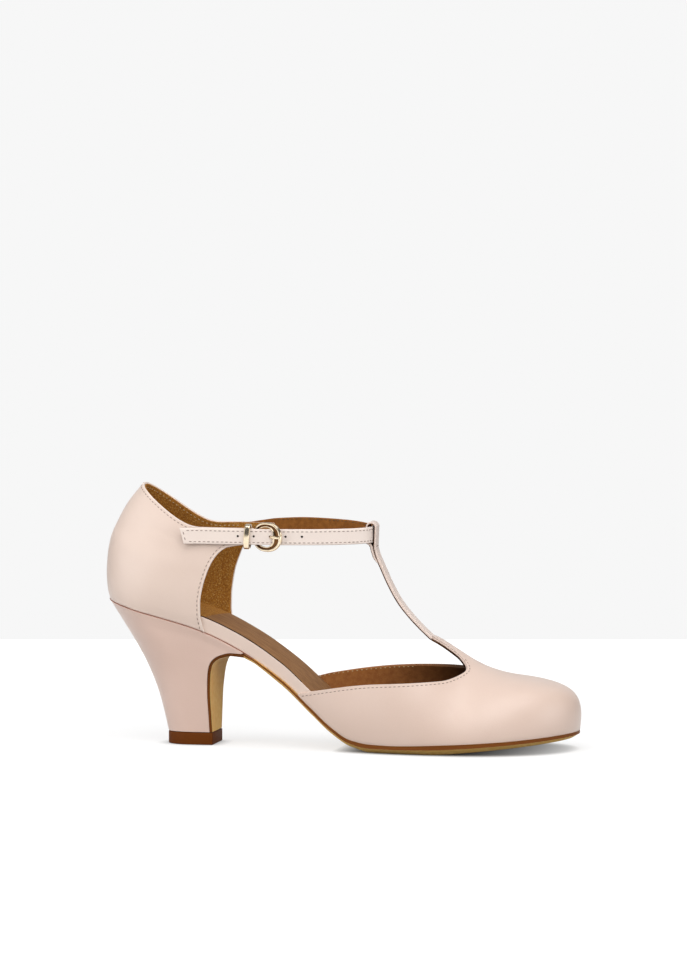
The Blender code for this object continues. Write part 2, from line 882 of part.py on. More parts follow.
def strap_drop(x):
    """How far the medial leg lies lower than the lateral one, easing out toward the front."""
    share = min(max((x - SIDE_TAB_END) / STRAP_EASE, 0.0), 1.0)
    run = max(0.0, (x - SIDE_TAB_END) / (STRAP_BEND + STRAP_REACH - SIDE_TAB_END))
    ease = SIDE_DROP[MEDIAL] * (1.0 - share * share * (3.0 - 2.0 * share))
    return ease - STRAP_BOW * math.sin(math.pi * min(run, 1.0))


def build_ankle_strap(leather):
    bm = bmesh.new()
    rows = []
    for i, (x, y) in enumerate(strap_path()):
        low_x = max(x, STRAP_TIP_LOW) if i == 0 else x
        drop = strap_drop(x) if y > 0.0 else 0.0
        rows.append([Vector((low_x, y, STRAP_LOW - drop)), Vector((x, y, STRAP_HIGH - drop))])
    sheet(bm, rows)
    bmesh.ops.reverse_faces(bm, faces=bm.faces)
    strap = make_object("ankle_strap", bm, leather)
    solidify(strap, STRAP_THICK, 0.0)
    boolean(strap, build_prong_hole(), "DIFFERENCE")
    return strap


def strap_outer(x):
    return STRAP_HALF * strap_share(x) + SEAM_GAP + STRAP_THICK


def build_prong_hole():
    bm = bmesh.new()
    bmesh.ops.create_cone(bm, cap_ends=True, segments=16, radius1=PRONG_HOLE_RADIUS * MM,
                          radius2=PRONG_HOLE_RADIUS * MM, depth=PRONG_HOLE_DEPTH * MM)
    cutter = make_object("prong_hole", bm, bpy.data.materials["strap_leather"])
    cutter.location = place((PRONG_HOLE, -strap_outer(PRONG_HOLE), (STRAP_LOW + STRAP_HIGH) / 2.0))
    cutter.rotation_euler = (math.pi / 2.0, 0.0, 0.0)
    return cutter


def t_face(z, depth):
    """Point of the T-bar at a height, a depth behind its front face."""
    along = Vector((t_front_station.slope(z), 0.0, 1.0)).normalized()
    back = Vector((-along.z, 0.0, along.x))
    front = Vector((t_front_station(z), 0.0, z))
    point = front + depth * back
    return point.x, point.z


def build_t_strap(leather):
    base = T_FRONT["rows"][0][0]
    fold_front = t_front_station(T_FOLD_HEIGHT)
    strap_front = STRAP_BEND + STRAP_REACH + STRAP_THICK / 2.0
    slot_front = strap_front + SEAM_GAP
    slot_rear = strap_front - STRAP_THICK - SLOT_CLEARANCE - SEAM_GAP
    fold_rear = slot_rear - T_THICK
    fold_radius = (fold_front - fold_rear) / 2.0
    fold_middle = (fold_front + fold_rear) / 2.0
    front = [t_face(z, 0.0) for z in spread(base, T_FOLD_HEIGHT, T_FRONT_STEPS)]
    fold = []
    for turn in spread(0.0, math.pi, ROUND_STEPS)[1:]:
        fold.append((fold_middle + fold_radius * math.cos(turn),
                     T_FOLD_HEIGHT + fold_radius * math.sin(turn)))
    tail = [(fold_rear, STRAP_LOW - 2.0 * SEAM_GAP)]
    tail += [t_face(z, depth) for z, depth in T_TAIL["rows"]]
    back = [t_face(z, T_THICK) for z in spread(T_TAIL["rows"][-1][0], base, T_BACK_STEPS)]
    slot_low, slot_high = STRAP_LOW - SLOT_CLEARANCE, STRAP_HIGH + SLOT_CLEARANCE
    slot = [(slot_front, slot_low), (slot_front, slot_high), (slot_rear, slot_high), (slot_rear, slot_low)]
    strap = flat_outline("t_strap", [front + fold + tail + back, slot], T_WIDTH, leather)
    strap.rotation_euler = (math.pi / 2.0, 0.0, 0.0)
    strap.location = place((0.0, 0.0, 0.0))
    return strap


def wire(name, points, radius, cyclic, surface):
    curve = bpy.data.curves.new(name, "CURVE")
    curve.dimensions = "3D"
    curve.bevel_depth = radius * MM
    curve.bevel_resolution = 2
    curve.use_fill_caps = True
    spline = curve.splines.new("POLY")
    spline.points.add(len(points) - 1)
    for target, point in zip(spline.points, points):
        target.co = (*point, 1.0)
    spline.use_cyclic_u = cyclic
    return add_part(name, curve, surface)


def frame_bar_y():
    """Across the shoe, the bar lies just inside the ankle strap."""
    return -(strap_outer(FRAME_BAR) - STRAP_THICK - SEAM_GAP - FRAME_WIRE)


def build_buckle_frame(brass):
    points = []
    for turn in spread(0.0, 2.0 * math.pi, FRAME_STEPS)[:-1]:
        c, s = math.cos(turn), math.sin(turn)
        power = FRAME_ROUND if c > 0.0 else FRAME_SQUARE
        u = math.copysign(abs(c) ** (2.0 / power), c)
        v = math.copysign(abs(s) ** (2.0 / power), s)
        points.append(Vector((FRAME_HALF_LENGTH * (1.0 + u) * MM, 0.0, FRAME_HALF_HEIGHT * v * MM)))
    frame = wire("buckle_frame", points, FRAME_WIRE, True, brass)
    frame.location = place((FRAME_BAR, frame_bar_y(), (STRAP_LOW + STRAP_HIGH) / 2.0))
    frame.rotation_euler = (0.0, 0.0, -FRAME_TILT)
    return frame


def build_buckle_prong(brass):
    middle = (STRAP_LOW + STRAP_HIGH) / 2.0
    bar = frame_bar_y()
    inner = -(strap_outer(PRONG_HOLE) - STRAP_THICK - SEAM_GAP - PRONG_WIRE)
    tip_x = FRAME_BAR + 2.0 * FRAME_HALF_LENGTH * math.cos(FRAME_TILT)
    frame_y = bar - 2.0 * FRAME_HALF_LENGTH * math.sin(FRAME_TILT)
    tip_y = frame_y - FRAME_WIRE - PRONG_WIRE - SEAM_GAP
    root_x = FRAME_BAR + FRAME_WIRE + PRONG_WIRE + SEAM_GAP
    outer = -(strap_outer(PRONG_HOLE) + SEAM_GAP + PRONG_WIRE)
    stops = (
        (root_x, inner + SEAM_GAP),
        (PRONG_HOLE - PRONG_LEAD, inner + SEAM_GAP / 2.0),
        (PRONG_HOLE - PRONG_RISE, inner - PRONG_WIRE),
        (PRONG_HOLE + PRONG_RISE, outer + PRONG_RISE),
        (PRONG_HOLE + PRONG_LEAD, outer - PRONG_RISE),
        (tip_x + PRONG_OVERHANG, tip_y),
    )
    points = [place((x, y, middle)) for x, y in stops]
    return wire("buckle_prong", points, PRONG_WIRE, False, brass)


def build_strap_keeper(brass):
    """Flat metal loop round the side tab and the strap's free end."""
    outer_y = strap_outer(KEEPER_STATION) + SEAM_GAP
    inner_y = outer_y - STRAP_THICK - WALL - 3.0 * SEAM_GAP
    middle_y = (outer_y + inner_y) / 2.0
    half_depth = (outer_y - inner_y) / 2.0
    rings = []
    for grow in (KEEPER_THICK, 0.0):
        ring = []
        for turn in spread(0.0, 2.0 * math.pi, KEEPER_STEPS)[:-1]:
            c, s = math.cos(turn), math.sin(turn)
            u = math.copysign(abs(c) ** (2.0 / KEEPER_SQUARE), c)
            v = math.copysign(abs(s) ** (2.0 / KEEPER_SQUARE), s)
            height = KEEPER_HALF_HEIGHT - KEEPER_THICK + grow
            ring.append(((half_depth + grow) * u, height * v))
        rings.append(ring)
    keeper = flat_outline("strap_keeper", rings, KEEPER_WIDTH, brass)
    keeper.location = place((KEEPER_STATION, -middle_y, (STRAP_LOW + STRAP_HIGH) / 2.0))
    keeper.rotation_euler = (math.pi / 2.0, 0.0, math.pi / 2.0)
    return keeper


for existing in list(bpy.data.objects):
    bpy.data.objects.remove(existing, do_unlink=True)

parts = bpy.data.collections.new("strap_pump")
cutters = bpy.data.collections.new("strap_pump_cutters")
for group in (parts, cutters):
    bpy.context.scene.collection.children.link(group)
root = bpy.data.objects.new("strap_pump_root", None)
parts.objects.link(root)

pink = material("pink_leather", (0.82, 0.64, 0.56), 0.45)
strap_pink = material("strap_leather", (0.84, 0.68, 0.6), 0.5)
heel_pink = material("heel_cover", (0.78, 0.59, 0.51), 0.45)
tan = material("sole_leather", (0.5, 0.3, 0.11), 0.5)
brown = material("top_lift", (0.17, 0.07, 0.02), 0.55)
lining = material("sock_leather", (0.25, 0.12, 0.04), 0.7)
gold = material("gold_metal", (0.83, 0.62, 0.33), 0.25, 1.0)

build_upper(pink)
build_outsole(tan)
build_heel(heel_pink)
build_top_piece(brown)
build_insole(lining)
build_t_strap(strap_pink)
build_ankle_strap(strap_pink)
build_buckle_frame(gold)
build_buckle_prong(gold)
build_strap_keeper(gold)
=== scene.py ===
# %% [markdown]
# # A T-strap pump, dressed piece by piece
#
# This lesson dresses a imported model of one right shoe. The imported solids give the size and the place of
# each part. Each cell below makes one part as its maker would see it: leather, lining, thread or metal.
# Measures are millimetres counted from the back of the heel, and one function turns them into metres.

import math

import bmesh
import bpy
import numpy as np
from mathutils import Matrix, Vector
from mathutils.bvhtree import BVHTree


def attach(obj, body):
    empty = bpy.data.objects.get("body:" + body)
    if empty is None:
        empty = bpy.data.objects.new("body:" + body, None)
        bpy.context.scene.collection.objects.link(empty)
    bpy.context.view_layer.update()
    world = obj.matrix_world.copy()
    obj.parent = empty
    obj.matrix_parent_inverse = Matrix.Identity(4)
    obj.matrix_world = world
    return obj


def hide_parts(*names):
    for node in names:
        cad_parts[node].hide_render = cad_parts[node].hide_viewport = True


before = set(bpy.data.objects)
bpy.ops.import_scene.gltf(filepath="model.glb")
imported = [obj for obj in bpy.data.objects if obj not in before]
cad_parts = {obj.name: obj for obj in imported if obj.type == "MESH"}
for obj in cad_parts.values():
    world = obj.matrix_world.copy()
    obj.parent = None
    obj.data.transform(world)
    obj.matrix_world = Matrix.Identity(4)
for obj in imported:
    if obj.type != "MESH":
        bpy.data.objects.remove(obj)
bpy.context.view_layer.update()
print("solids:", ", ".join(sorted(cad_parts)))

# %% [markdown]
# ## Measures
#
# A shoemaker works from the last: a line along the sole's edge, with a height and a width at each station.
# The curves could be drawn by hand as splines. Here short tables hold the stations, and a smooth curve that
# never swings past its rows runs through them, so a measure can be changed in one place.

# %% Measures and curves
MM = 0.001
MIDDLE = 115.25
LATERAL = -1
MEDIAL = 1
SIDES = (LATERAL, MEDIAL)
UP = Vector((0.0, 0.0, 1.0))
SLOPE_STEP = 0.25


def place(point):
    """Metres in the shared frame from millimetres counted from the back of the heel."""
    return Vector(((point[0] - MIDDLE) * MM, point[1] * MM, point[2] * MM))


def mix(first, second, share):
    return first + (second - first) * share


def spread(first, last, count):
    return [mix(first, last, i / (count - 1)) for i in range(count)]


def crowd(count, power):
    """Shares from 0 to 1 that lie closer together near 0 for a power above 1."""
    return [share**power for share in spread(0.0, 1.0, count)]


def round_end(reach, power):
    """Half width of a round end, as a share of the full one, at a share of its reach."""
    inward = 1.0 - min(max(reach, 0.0), 1.0)
    return max(0.0, 1.0 - inward**power) ** (1.0 / power)


class Profile:
    """A smooth curve through one column of a table."""

    def __init__(self, table, name):
        column = table["columns"].index(name)
        self.at = [row[0] for row in table["rows"]]
        self.value = [row[column] for row in table["rows"]]
        self.step = np.diff(self.at)
        rise = np.diff(self.value) / self.step
        self.grade = [rise[0]]
        for i in range(1, len(rise)):
            before, after = rise[i - 1], rise[i]
            one, two = 2.0 * self.step[i] + self.step[i - 1], self.step[i] + 2.0 * self.step[i - 1]
            level = before * after <= 0.0
            self.grade.append(0.0 if level else (one + two) / (one / before + two / after))
        self.grade.append(rise[-1])

    def __call__(self, station):
        station = min(max(station, self.at[0]), self.at[-1])
        i = min(int(np.searchsorted(self.at, station, side="right")) - 1, len(self.step) - 1)
        h = self.step[i]
        t = (station - self.at[i]) / h
        start = (1 + 2 * t) * (1 - t) ** 2 * self.value[i] + t * (1 - t) ** 2 * h * self.grade[i]
        end = t * t * (3 - 2 * t) * self.value[i + 1] + t * t * (t - 1) * h * self.grade[i + 1]
        return float(start + end)

    def slope(self, station):
        return (self(station + SLOPE_STEP) - self(station - SLOPE_STEP)) / (2.0 * SLOPE_STEP)


def side_profiles(table):
    return {LATERAL: Profile(table, "lateral"), MEDIAL: Profile(table, "medial")}


print("origin lies", MIDDLE, "mm in front of the back of the heel")

# %% [markdown]
# ## Camera
#
# The photograph was taken with a long lens, a little to the toe's side and a little above the floor. An
# orthographic camera would come close. A lens of one metre, far away, keeps the same nearly parallel view
# and a trace of its perspective. One pixel is 0.478 mm at the middle of the shoe.

# %% Camera
VIEW_TURN = math.radians(12.0)
VIEW_RISE = math.radians(5.5)
IMAGE_HEIGHT = 962
PIXEL = 0.478
LENS = 1000.0
SENSOR = 36.0
FAR_CLIP = 100.0
AIM_RIGHT = -0.3
AIM_UP = 126.4


def add_object(name, data):
    """A new object at the origin, linked to the scene."""
    made = bpy.data.objects.new(name, data)
    bpy.context.scene.collection.objects.link(made)
    return made


back = Vector((math.sin(VIEW_TURN) * math.cos(VIEW_RISE), -math.cos(VIEW_TURN) * math.cos(VIEW_RISE),
               math.sin(VIEW_RISE)))
right = Vector((math.cos(VIEW_TURN), math.sin(VIEW_TURN), 0.0))
upward = back.cross(right)
distance = IMAGE_HEIGHT * PIXEL * MM * LENS / SENSOR
camera = add_object("camera", bpy.data.cameras.new("camera"))
camera.data.lens = LENS
camera.data.sensor_width = SENSOR
camera.data.clip_end = FAR_CLIP
camera.location = right * AIM_RIGHT * MM + upward * AIM_UP * MM + back * distance
camera.rotation_euler = Matrix((right, upward, back)).transposed().to_euler()
bpy.context.scene.camera = camera
print("camera stands", round(distance, 2), "m away")

# %% [markdown]
# ## Shader maths in Python
#
# A finish is a tree of nodes, and drawing it by hand hides the sums in it. So one small class wraps a node's
# socket, and adding or multiplying two sockets adds a Math node. A second class makes every other node
# through one method, which sets the node up and joins its sockets.

# %% Sockets that take part in sums
class Socket:
    """A node's output that can be added, multiplied and subtracted in Python."""

    def __init__(self, nodes, output):
        self.nodes = nodes
        self.output = output

    def sum_with(self, operation, first, second):
        return self.nodes.node("ShaderNodeMath", {"operation": operation}, {0: first, 1: second})

    def __add__(self, other):
        return self.sum_with("ADD", self, other)

    def __mul__(self, other):
        return self.sum_with("MULTIPLY", self, other)

    def __sub__(self, other):
        return self.sum_with("SUBTRACT", self, other)

    def __rsub__(self, other):
        return self.sum_with("SUBTRACT", other, self)

    __radd__ = __add__
    __rmul__ = __mul__


class Nodes:
    """A node tree whose nodes are made through a single method."""

    def __init__(self, tree):
        self.tree = tree

    def node(self, kind, settings, sockets, output=0):
        made = self.tree.nodes.new(kind)
        for setting, value in settings.items():
            setattr(made, setting, value)
        self.join(made, sockets)
        return Socket(self, made.outputs[output])

    def join(self, node, sockets):
        for socket, value in sockets.items():
            if isinstance(value, Socket):
                self.tree.links.new(value.output, node.inputs[socket])
            else:
                node.inputs[socket].default_value = value

    def ray(self, kind):
        """One for rays of a kind, such as Is Camera Ray, and zero for others."""
        return self.node("ShaderNodeLightPath", {}, {}, kind)

    def choose(self, share, first, second):
        return self.node("ShaderNodeMixShader", {}, {0: share, 1: first, 2: second})


print("sums and nodes are ready")

# %% [markdown]
# ## A finish
#
# A finish is one material. Its patterns could be painted on maps, but then each piece would have to be
# unwrapped. Here every pattern is worked out from the place in the shoe. Colours are given as they look on
# a screen and are turned into the linear values that the shader wants.

# %% Finish and its patterns
class Finish(Nodes):
    """One material, with the patterns that feed its shader."""

    def __init__(self, name, sockets):
        self.material = bpy.data.materials.new(name)
        self.material.use_nodes = True
        super().__init__(self.material.node_tree)
        self.shader = self.tree.nodes["Principled BSDF"]
        self.feed(sockets)

    def feed(self, sockets):
        self.join(self.shader, sockets)

    def where(self):
        return self.node("ShaderNodeTexCoord", {}, {}, "Object")

    def blend(self, share, first, second):
        return self.node("ShaderNodeMix", {"data_type": "RGBA"}, {0: share, 6: first, 7: second}, 2)

    def spots(self, scale, detail=2.0, stretch=(1.0, 1.0, 1.0)):
        """Cloudy noise, from 0 to 1, whose spots are about 1/scale metres across."""
        sized = self.node("ShaderNodeMapping", {}, {"Vector": self.where(), "Scale": stretch})
        return self.node("ShaderNodeTexNoise", {}, {"Vector": sized, "Scale": scale, "Detail": detail})

    def cells(self, scale):
        """Distance from the middle of rounded cells, as in the grain of leather."""
        sockets = {"Vector": self.where(), "Scale": scale, "Smoothness": 0.4}
        return self.node("ShaderNodeTexVoronoi", {"feature": "SMOOTH_F1"}, sockets)

    def limit(self, value, low, high):
        """A value carried from the range low to high onto 0 to 1, and kept there."""
        sockets = {"Value": value, "From Min": low, "From Max": high}
        return self.node("ShaderNodeMapRange", {"interpolation_type": "SMOOTHSTEP"}, sockets)

    def bump(self, height, depth):
        sockets = {"Height": height, "Distance": depth * MM, "Strength": 1.0}
        self.feed({"Normal": self.node("ShaderNodeBump", {}, sockets)})


def tone(red, green, blue):
    """A colour given in screen values, as the shader's linear values."""
    linear = []
    for value in (red, green, blue):
        share = value / 255.0
        linear.append(share / 12.92 if share <= 0.04045 else ((share + 0.055) / 1.055) ** 2.4)
    return (*linear, 1.0)


def grey(value):
    return (value, value, value, 1.0)


print("finishes are made from named colours, such as", tone(207, 182, 167))

# %% [markdown]
# ## Lamps and room
#
# A studio lights a shoe with big soft boxes. Leather shows them as soft sheen, but polished metal mirrors
# them, so each lamp says whether reflections see it. The world has three tones: the pale wall for the eye,
# a dark room for reflections, which gives the buckle its dark sides, and an even light for all else.

# %% Lamps and room
WALL_TONE = 0.93
DARK_ROOM = 0.12
AMBIENT = 0.4
LAMP_AIM = 0.05
LAMPS = {
    "columns": ("name", "right", "toward", "high", "size", "power", "mirrored"),
    "rows": (
        ("front_soft", -0.1, 1.5, 1.25, 2.0, 19.5, False),
        ("top_soft", 0.1, 0.45, 1.4, 1.2, 8.5, True),
        ("wall_soft", 0.0, -1.4, 0.9, 2.4, 8.0, True),
        ("side_soft", -1.3, 0.35, 0.55, 1.6, 7.0, True),
        ("heel_soft", -0.62, 0.32, 0.12, 0.45, 1.7, False),
        ("toe_soft", 1.0, 0.35, 0.25, 0.6, 2.9, True),
        ("arch_soft", 0.75, 0.95, 0.12, 0.35, 3.2, False),
    ),
}

flat_back = Vector((back.x, back.y, 0.0)).normalized()
for name, aside, toward, high, size, power, mirrored in LAMPS["rows"]:
    lamp = add_object(name, bpy.data.lights.new(name, "AREA"))
    lamp.data.size = size
    lamp.data.energy = power
    lamp.visible_glossy = mirrored
    lamp.visible_camera = False
    lamp.location = right * aside + flat_back * toward + UP * high
    lamp.rotation_euler = (UP * LAMP_AIM - lamp.location).to_track_quat("-Z", "Y").to_euler()

world = bpy.data.worlds.new("studio")
world.use_nodes = True
bpy.context.scene.world = world
room = Nodes(world.node_tree)
even = room.tree.nodes["Background"]
room.join(even, {"Color": grey(1.0), "Strength": AMBIENT})
dark = room.node("ShaderNodeBackground", {}, {"Color": grey(DARK_ROOM)})
wall = room.node("ShaderNodeBackground", {}, {"Color": grey(WALL_TONE)})
unseen = room.choose(room.ray("Is Glossy Ray"), Socket(room, even.outputs[0]), dark)
room.join(room.tree.nodes["World Output"], {"Surface": room.choose(room.ray("Is Camera Ray"), unseen, wall)})
bpy.context.scene.view_settings.view_transform = "Standard"
print("lamps:", ", ".join(row[0] for row in LAMPS["rows"]))

# %% [markdown]
# ## Floor
#
# The floor is a white sheet of paper that ends half a metre behind the shoe. Paper that is lit to pure white
# loses its shadows, so it glows by itself, and its shadows are painted into the glow: less near the shoe and
# least where an Ambient Occlusion node finds the sole close above it. A white floor would also throw too
# much light up under the arch, so the shoe is lit by a dimmer one, while its metal still mirrors it bright.

# %% Floor
FLOOR_BEHIND = 0.497
FLOOR_HALF = 6.0
FLOOR_DROP = 0.00005
FLOOR_TONE = 0.30
FLOOR_DEEP = 0.29
BOUNCE = 0.16
MIRRORED = 0.9
CONTACT = 0.007
GLOW_NEAR = 0.7
GLOW_RISE = 0.28
GLOW_REACH = (0.16, 0.6)

bm = bmesh.new()
bmesh.ops.create_grid(bm, x_segments=8, y_segments=8, size=FLOOR_HALF)
bmesh.ops.rotate(bm, verts=bm.verts, matrix=Matrix.Rotation(VIEW_TURN, 3, "Z"))
bmesh.ops.translate(bm, verts=bm.verts, vec=flat_back * (FLOOR_HALF - FLOOR_BEHIND) - UP * FLOOR_DROP)
floor = add_object("floor", bpy.data.meshes.new("floor"))
bm.to_mesh(floor.data)
bm.free()

paper = Finish("floor_white", {"Roughness": 0.9, "Specular IOR Level": 0.1, "Emission Strength": 1.0})
paper.feed({"Base Color": paper.blend(paper.spots(3.0), grey(FLOOR_TONE), grey(FLOOR_DEEP))})
around = paper.node("ShaderNodeVectorMath", {"operation": "LENGTH"}, {0: paper.where()}, "Value")
# painted shadow: the glow is dimmed near the shoe and where the sole is close above
open_air = paper.node("ShaderNodeAmbientOcclusion", {"samples": 12}, {"Distance": CONTACT}, "AO")
glow = open_air * (GLOW_NEAR + GLOW_RISE * paper.limit(around, *GLOW_REACH))
paper.feed({"Emission Color": paper.blend(glow, grey(0.0), grey(1.0))})
dim = paper.node("ShaderNodeBsdfDiffuse", {}, {"Color": grey(BOUNCE)})
bright = paper.node("ShaderNodeBsdfDiffuse", {}, {"Color": grey(MIRRORED)})
unseen = paper.choose(paper.ray("Is Glossy Ray"), dim, bright)
ground = paper.choose(paper.ray("Is Camera Ray"), unseen, Socket(paper, paper.shader.outputs[0]))
paper.join(paper.tree.nodes["Material Output"], {"Surface": ground})
floor.data.materials.append(paper.material)
print("floor ends", FLOOR_BEHIND, "m behind the shoe")

# %% [markdown]
# ## Leather finishes
#
# Smooth calf leather changes its tone softly over centimetres and has a fine grain with tiny pores. A photo
# texture would show its repeats, so noise and rounded cells make both, in tone, roughness and a shallow
# bump. A rough coat and a little sheen give the soft studio gloss. Quarter, heel, strap and T-bar are the
# same leather as the vamp, but each gets a lighter copy of its pink, painted light for how the lamps fall.

# %% Leather finishes
GRAIN = 1500.0
PORES = 5200.0
DRIFT = 26.0


def leather(name, colour, deep, roughness, grain=0.05, gloss=1.0):
    """Smooth calf leather: drifting tone, fine grain and pores."""
    finish = Finish(name, {"Specular IOR Level": gloss, "Sheen Weight": 0.12 * gloss, "Sheen Roughness": 0.6,
                           "Coat Weight": 0.9 * gloss, "Coat Roughness": 0.4})
    drift = finish.limit(finish.spots(DRIFT, 3.0), 0.35, 0.75)
    grains = finish.cells(GRAIN)
    pores = finish.spots(PORES)
    shade = drift * 0.55 + finish.limit(grains, 0.15, 0.75) * 0.18
    finish.feed({"Base Color": finish.blend(shade, colour, deep)})
    finish.feed({"Roughness": roughness + (pores - 0.5) * 0.12 + drift * 0.04})
    finish.bump(grains * -0.6 + pores * 0.5, grain)
    return finish


pink = leather("pink_leather", tone(207, 182, 167), tone(202, 175, 159), 0.54)
# painted light: lighter copies of the vamp's pink for quarter, heel, strap and T-bar
quarter_lit_pink = leather("quarter_leather", tone(212, 190, 176), tone(207, 183, 168), 0.54)
heel_lit_pink = leather("heel_leather", tone(213, 183, 168), tone(208, 176, 160), 0.56)
strap_lit_pink = leather("strap_leather", tone(228, 213, 203), tone(224, 207, 196), 0.56)
t_bar_lit_pink = leather("t_bar_leather", tone(215, 195, 183), tone(210, 188, 175), 0.56)
# painted highlight: a lighter copy of the pink for the quarter's folded edges
fold_lit_pink = leather("folded_edge", tone(222, 204, 191), tone(217, 196, 182), 0.56)
edge_brown = leather("sole_edge", tone(118, 68, 26), tone(104, 57, 20), 0.55, 0.03, 0.08)
lift_brown = leather("top_lift", tone(98, 50, 12), tone(87, 42, 9), 0.6, 0.03, 0.06)
seam_brown = leather("seam_line", tone(168, 112, 92), tone(150, 98, 80), 0.6, 0.03, 0.15)
print(len(bpy.data.materials), "finishes so far")

# %% [markdown]
# ## Nap, thread and metal
#
# Linings are brushed: matt, mottled and flecked where the short nap catches light. Hair particles could make
# a nap, but at this size two scales of noise do. The vamp's lining is also painted darker toward the toe, a
# painted shade where the hollow closes in. Thread is a matt colour with a twist, and the plated metal is a
# clouded gold.

# %% Lining, thread and metal finishes
NAP = 2600.0
NAP_STRETCH = (1.0, 1.0, 0.55)
SOCK_STRETCH = (0.12, 1.0, 0.4)
HOLLOW = (118.0, 178.0)
HOLLOW_SHADE_COLOUR = (0.004, 0.002, 0.001, 1.0)
HOLLOW_SHADE_SHARE = 0.96


def napped(name, colour, deep, pale, roughness, depth, mottled=420.0, stretch=(1.0, 1.0, 1.0), flecked=0.4):
    """Brushed lining leather: mottled, matt, with a short uneven nap."""
    finish = Finish(name, {"Specular IOR Level": 0.18})
    mottle = finish.limit(finish.spots(mottled, 4.0, stretch), 0.3, 0.72)
    nap = finish.spots(NAP, 3.0, NAP_STRETCH)
    base = finish.blend(mottle, deep, colour)
    flecks = finish.limit(nap, 0.52, 0.72) * flecked
    finish.feed({"Base Color": finish.blend(flecks, base, pale), "Roughness": roughness + (nap - 0.5) * 0.1})
    finish.bump(nap * 0.7 + mottle * 0.3, depth)
    return finish


def paint_hollow_shade(finish, first, last, share):
    """Paints shade into a finish toward the toe, where a hollow closes in."""
    along = finish.node("ShaderNodeSeparateXYZ", {}, {0: finish.where()}, "X")
    deep = finish.limit(along, (first - MIDDLE) * MM, (last - MIDDLE) * MM) * share
    plain = Socket(finish, finish.shader.inputs["Base Color"].links[0].from_socket)
    finish.feed({"Base Color": finish.blend(deep, plain, HOLLOW_SHADE_COLOUR)})


def metal(name, colour, deep, roughness):
    """Polished plated metal with faint clouding."""
    finish = Finish(name, {"Metallic": 1.0})
    cloud = finish.limit(finish.spots(700.0, 3.0), 0.3, 0.8)
    finish.feed({"Base Color": finish.blend(cloud, colour, deep), "Roughness": roughness + cloud * 0.06})
    finish.bump(finish.spots(900.0), 0.01)
    return finish


def thread(name, colour, deep):
    finish = Finish(name, {"Specular IOR Level": 0.25, "Roughness": 0.75})
    twist = finish.spots(3500.0, 1.0)
    finish.feed({"Base Color": finish.blend(twist, deep, colour)})
    finish.bump(twist, 0.05)
    return finish


lining = napped("quarter_lining", tone(168, 114, 46), tone(128, 80, 28), tone(222, 178, 106), 0.9, 0.12,
                1300.0, flecked=0.6)
vamp_brown = napped("vamp_lining", tone(160, 104, 56), tone(142, 88, 46), tone(178, 124, 74), 0.7, 0.05)
# painted shade: the vamp's lining darkens toward the toe
paint_hollow_shade(vamp_brown, *HOLLOW, HOLLOW_SHADE_SHARE)
strap_brown = napped("strap_lining", tone(140, 88, 36), tone(122, 74, 28), tone(158, 106, 54), 0.7, 0.05)
t_brown = napped("t_bar_lining", tone(92, 62, 42), tone(74, 48, 30), tone(112, 78, 54), 0.75, 0.04)
sock_brown = napped("sock", tone(144, 104, 65), tone(123, 84, 51), tone(162, 122, 80), 0.75, 0.06, 640.0,
                    SOCK_STRETCH)
sole_tan = napped("sole_tan", tone(248, 204, 122), tone(240, 190, 104), tone(252, 214, 140), 0.6, 0.03)
# painted shade: a dark brown for the strap's holes and a line beside the outer band
painted_shade_dark = napped("painted_shade", tone(60, 40, 30), tone(46, 30, 22), tone(70, 48, 36), 0.9, 0.05)
gold = metal("gold_metal", tone(240, 224, 198), tone(228, 208, 174), 0.14)
# painted shade: a dark metal for the recess of the buckle's ring
recess_shade_metal = metal("painted_recess_shade", tone(112, 78, 46), tone(92, 60, 32), 0.3)
dark_thread = thread("stitch_thread", tone(158, 140, 130), tone(128, 110, 102))
pale_thread = thread("lining_thread", tone(206, 182, 140), tone(176, 150, 110))
brown_thread = thread("brown_thread", tone(112, 84, 56), tone(90, 64, 40))
print(len(bpy.data.materials), "finishes in all")

# %% [markdown]
# ## The last's edge
#
# The feather line is where upper and sole meet. It climbs from the ball to the heel seat, and its plan is
# the outline of the sole, with round ends and a toe that leans a little to the inner side. Vamp, quarter,
# sole, heel and sock all start from it, so their edges meet without any fitting.

# %% Feather line
HEEL_BACK = 1.7
TOE_TIP = 229.0
SEAT_HEIGHT = 69.3
HEEL_REACH = 23.7
HEEL_POWER = 2.2
TOE_REACH = 52.0
TOE_POWER = 2.1
TOE_DRIFT = 3.0
LAST = {
    "columns": ("station", "height", "lateral", "medial", "sole", "insole"),
    "rows": (
        (HEEL_BACK, SEAT_HEIGHT, 25.0, 25.0, 1.2, 5.2),
        (12.0, 66.8, 25.0, 25.0, 1.2, 5.3),
        (20.0, 64.65, 25.0, 25.0, 1.2, 5.5),
        (27.5, 62.75, 25.0, 25.0, 1.2, 5.6),
        (49.4, 56.4, 24.7, 24.5, 1.2, 6.1),
        (69.7, 46.8, 23.7, 21.9, 1.7, 6.3),
        (89.5, 33.5, 23.7, 20.4, 2.9, 6.5),
        (104.0, 20.7, 25.8, 21.2, 3.2, 6.3),
        (114.5, 11.8, 28.4, 23.2, 3.2, 5.6),
        (124.6, 6.0, 31.0, 26.2, 3.3, 4.6),
        (134.8, 4.3, 33.6, 29.8, 4.2, 3.7),
        (145.0, 4.1, 36.0, 33.0, 4.4, 3.1),
        (164.0, 4.8, 38.0, 37.0, 4.6, 2.6),
        (201.0, 7.0, 37.6, 38.0, 3.55, 2.4),
        (229.9, 9.45, 37.6, 38.0, 2.7, 2.4),
    ),
}
feather_height = Profile(LAST, "height")
sole_thickness = Profile(LAST, "sole")
insole_thickness = Profile(LAST, "insole")
side_width = side_profiles(LAST)


def toe_drift(x):
    return TOE_DRIFT * max(0.0, (x - TOE_TIP + TOE_REACH) / TOE_REACH) ** 2


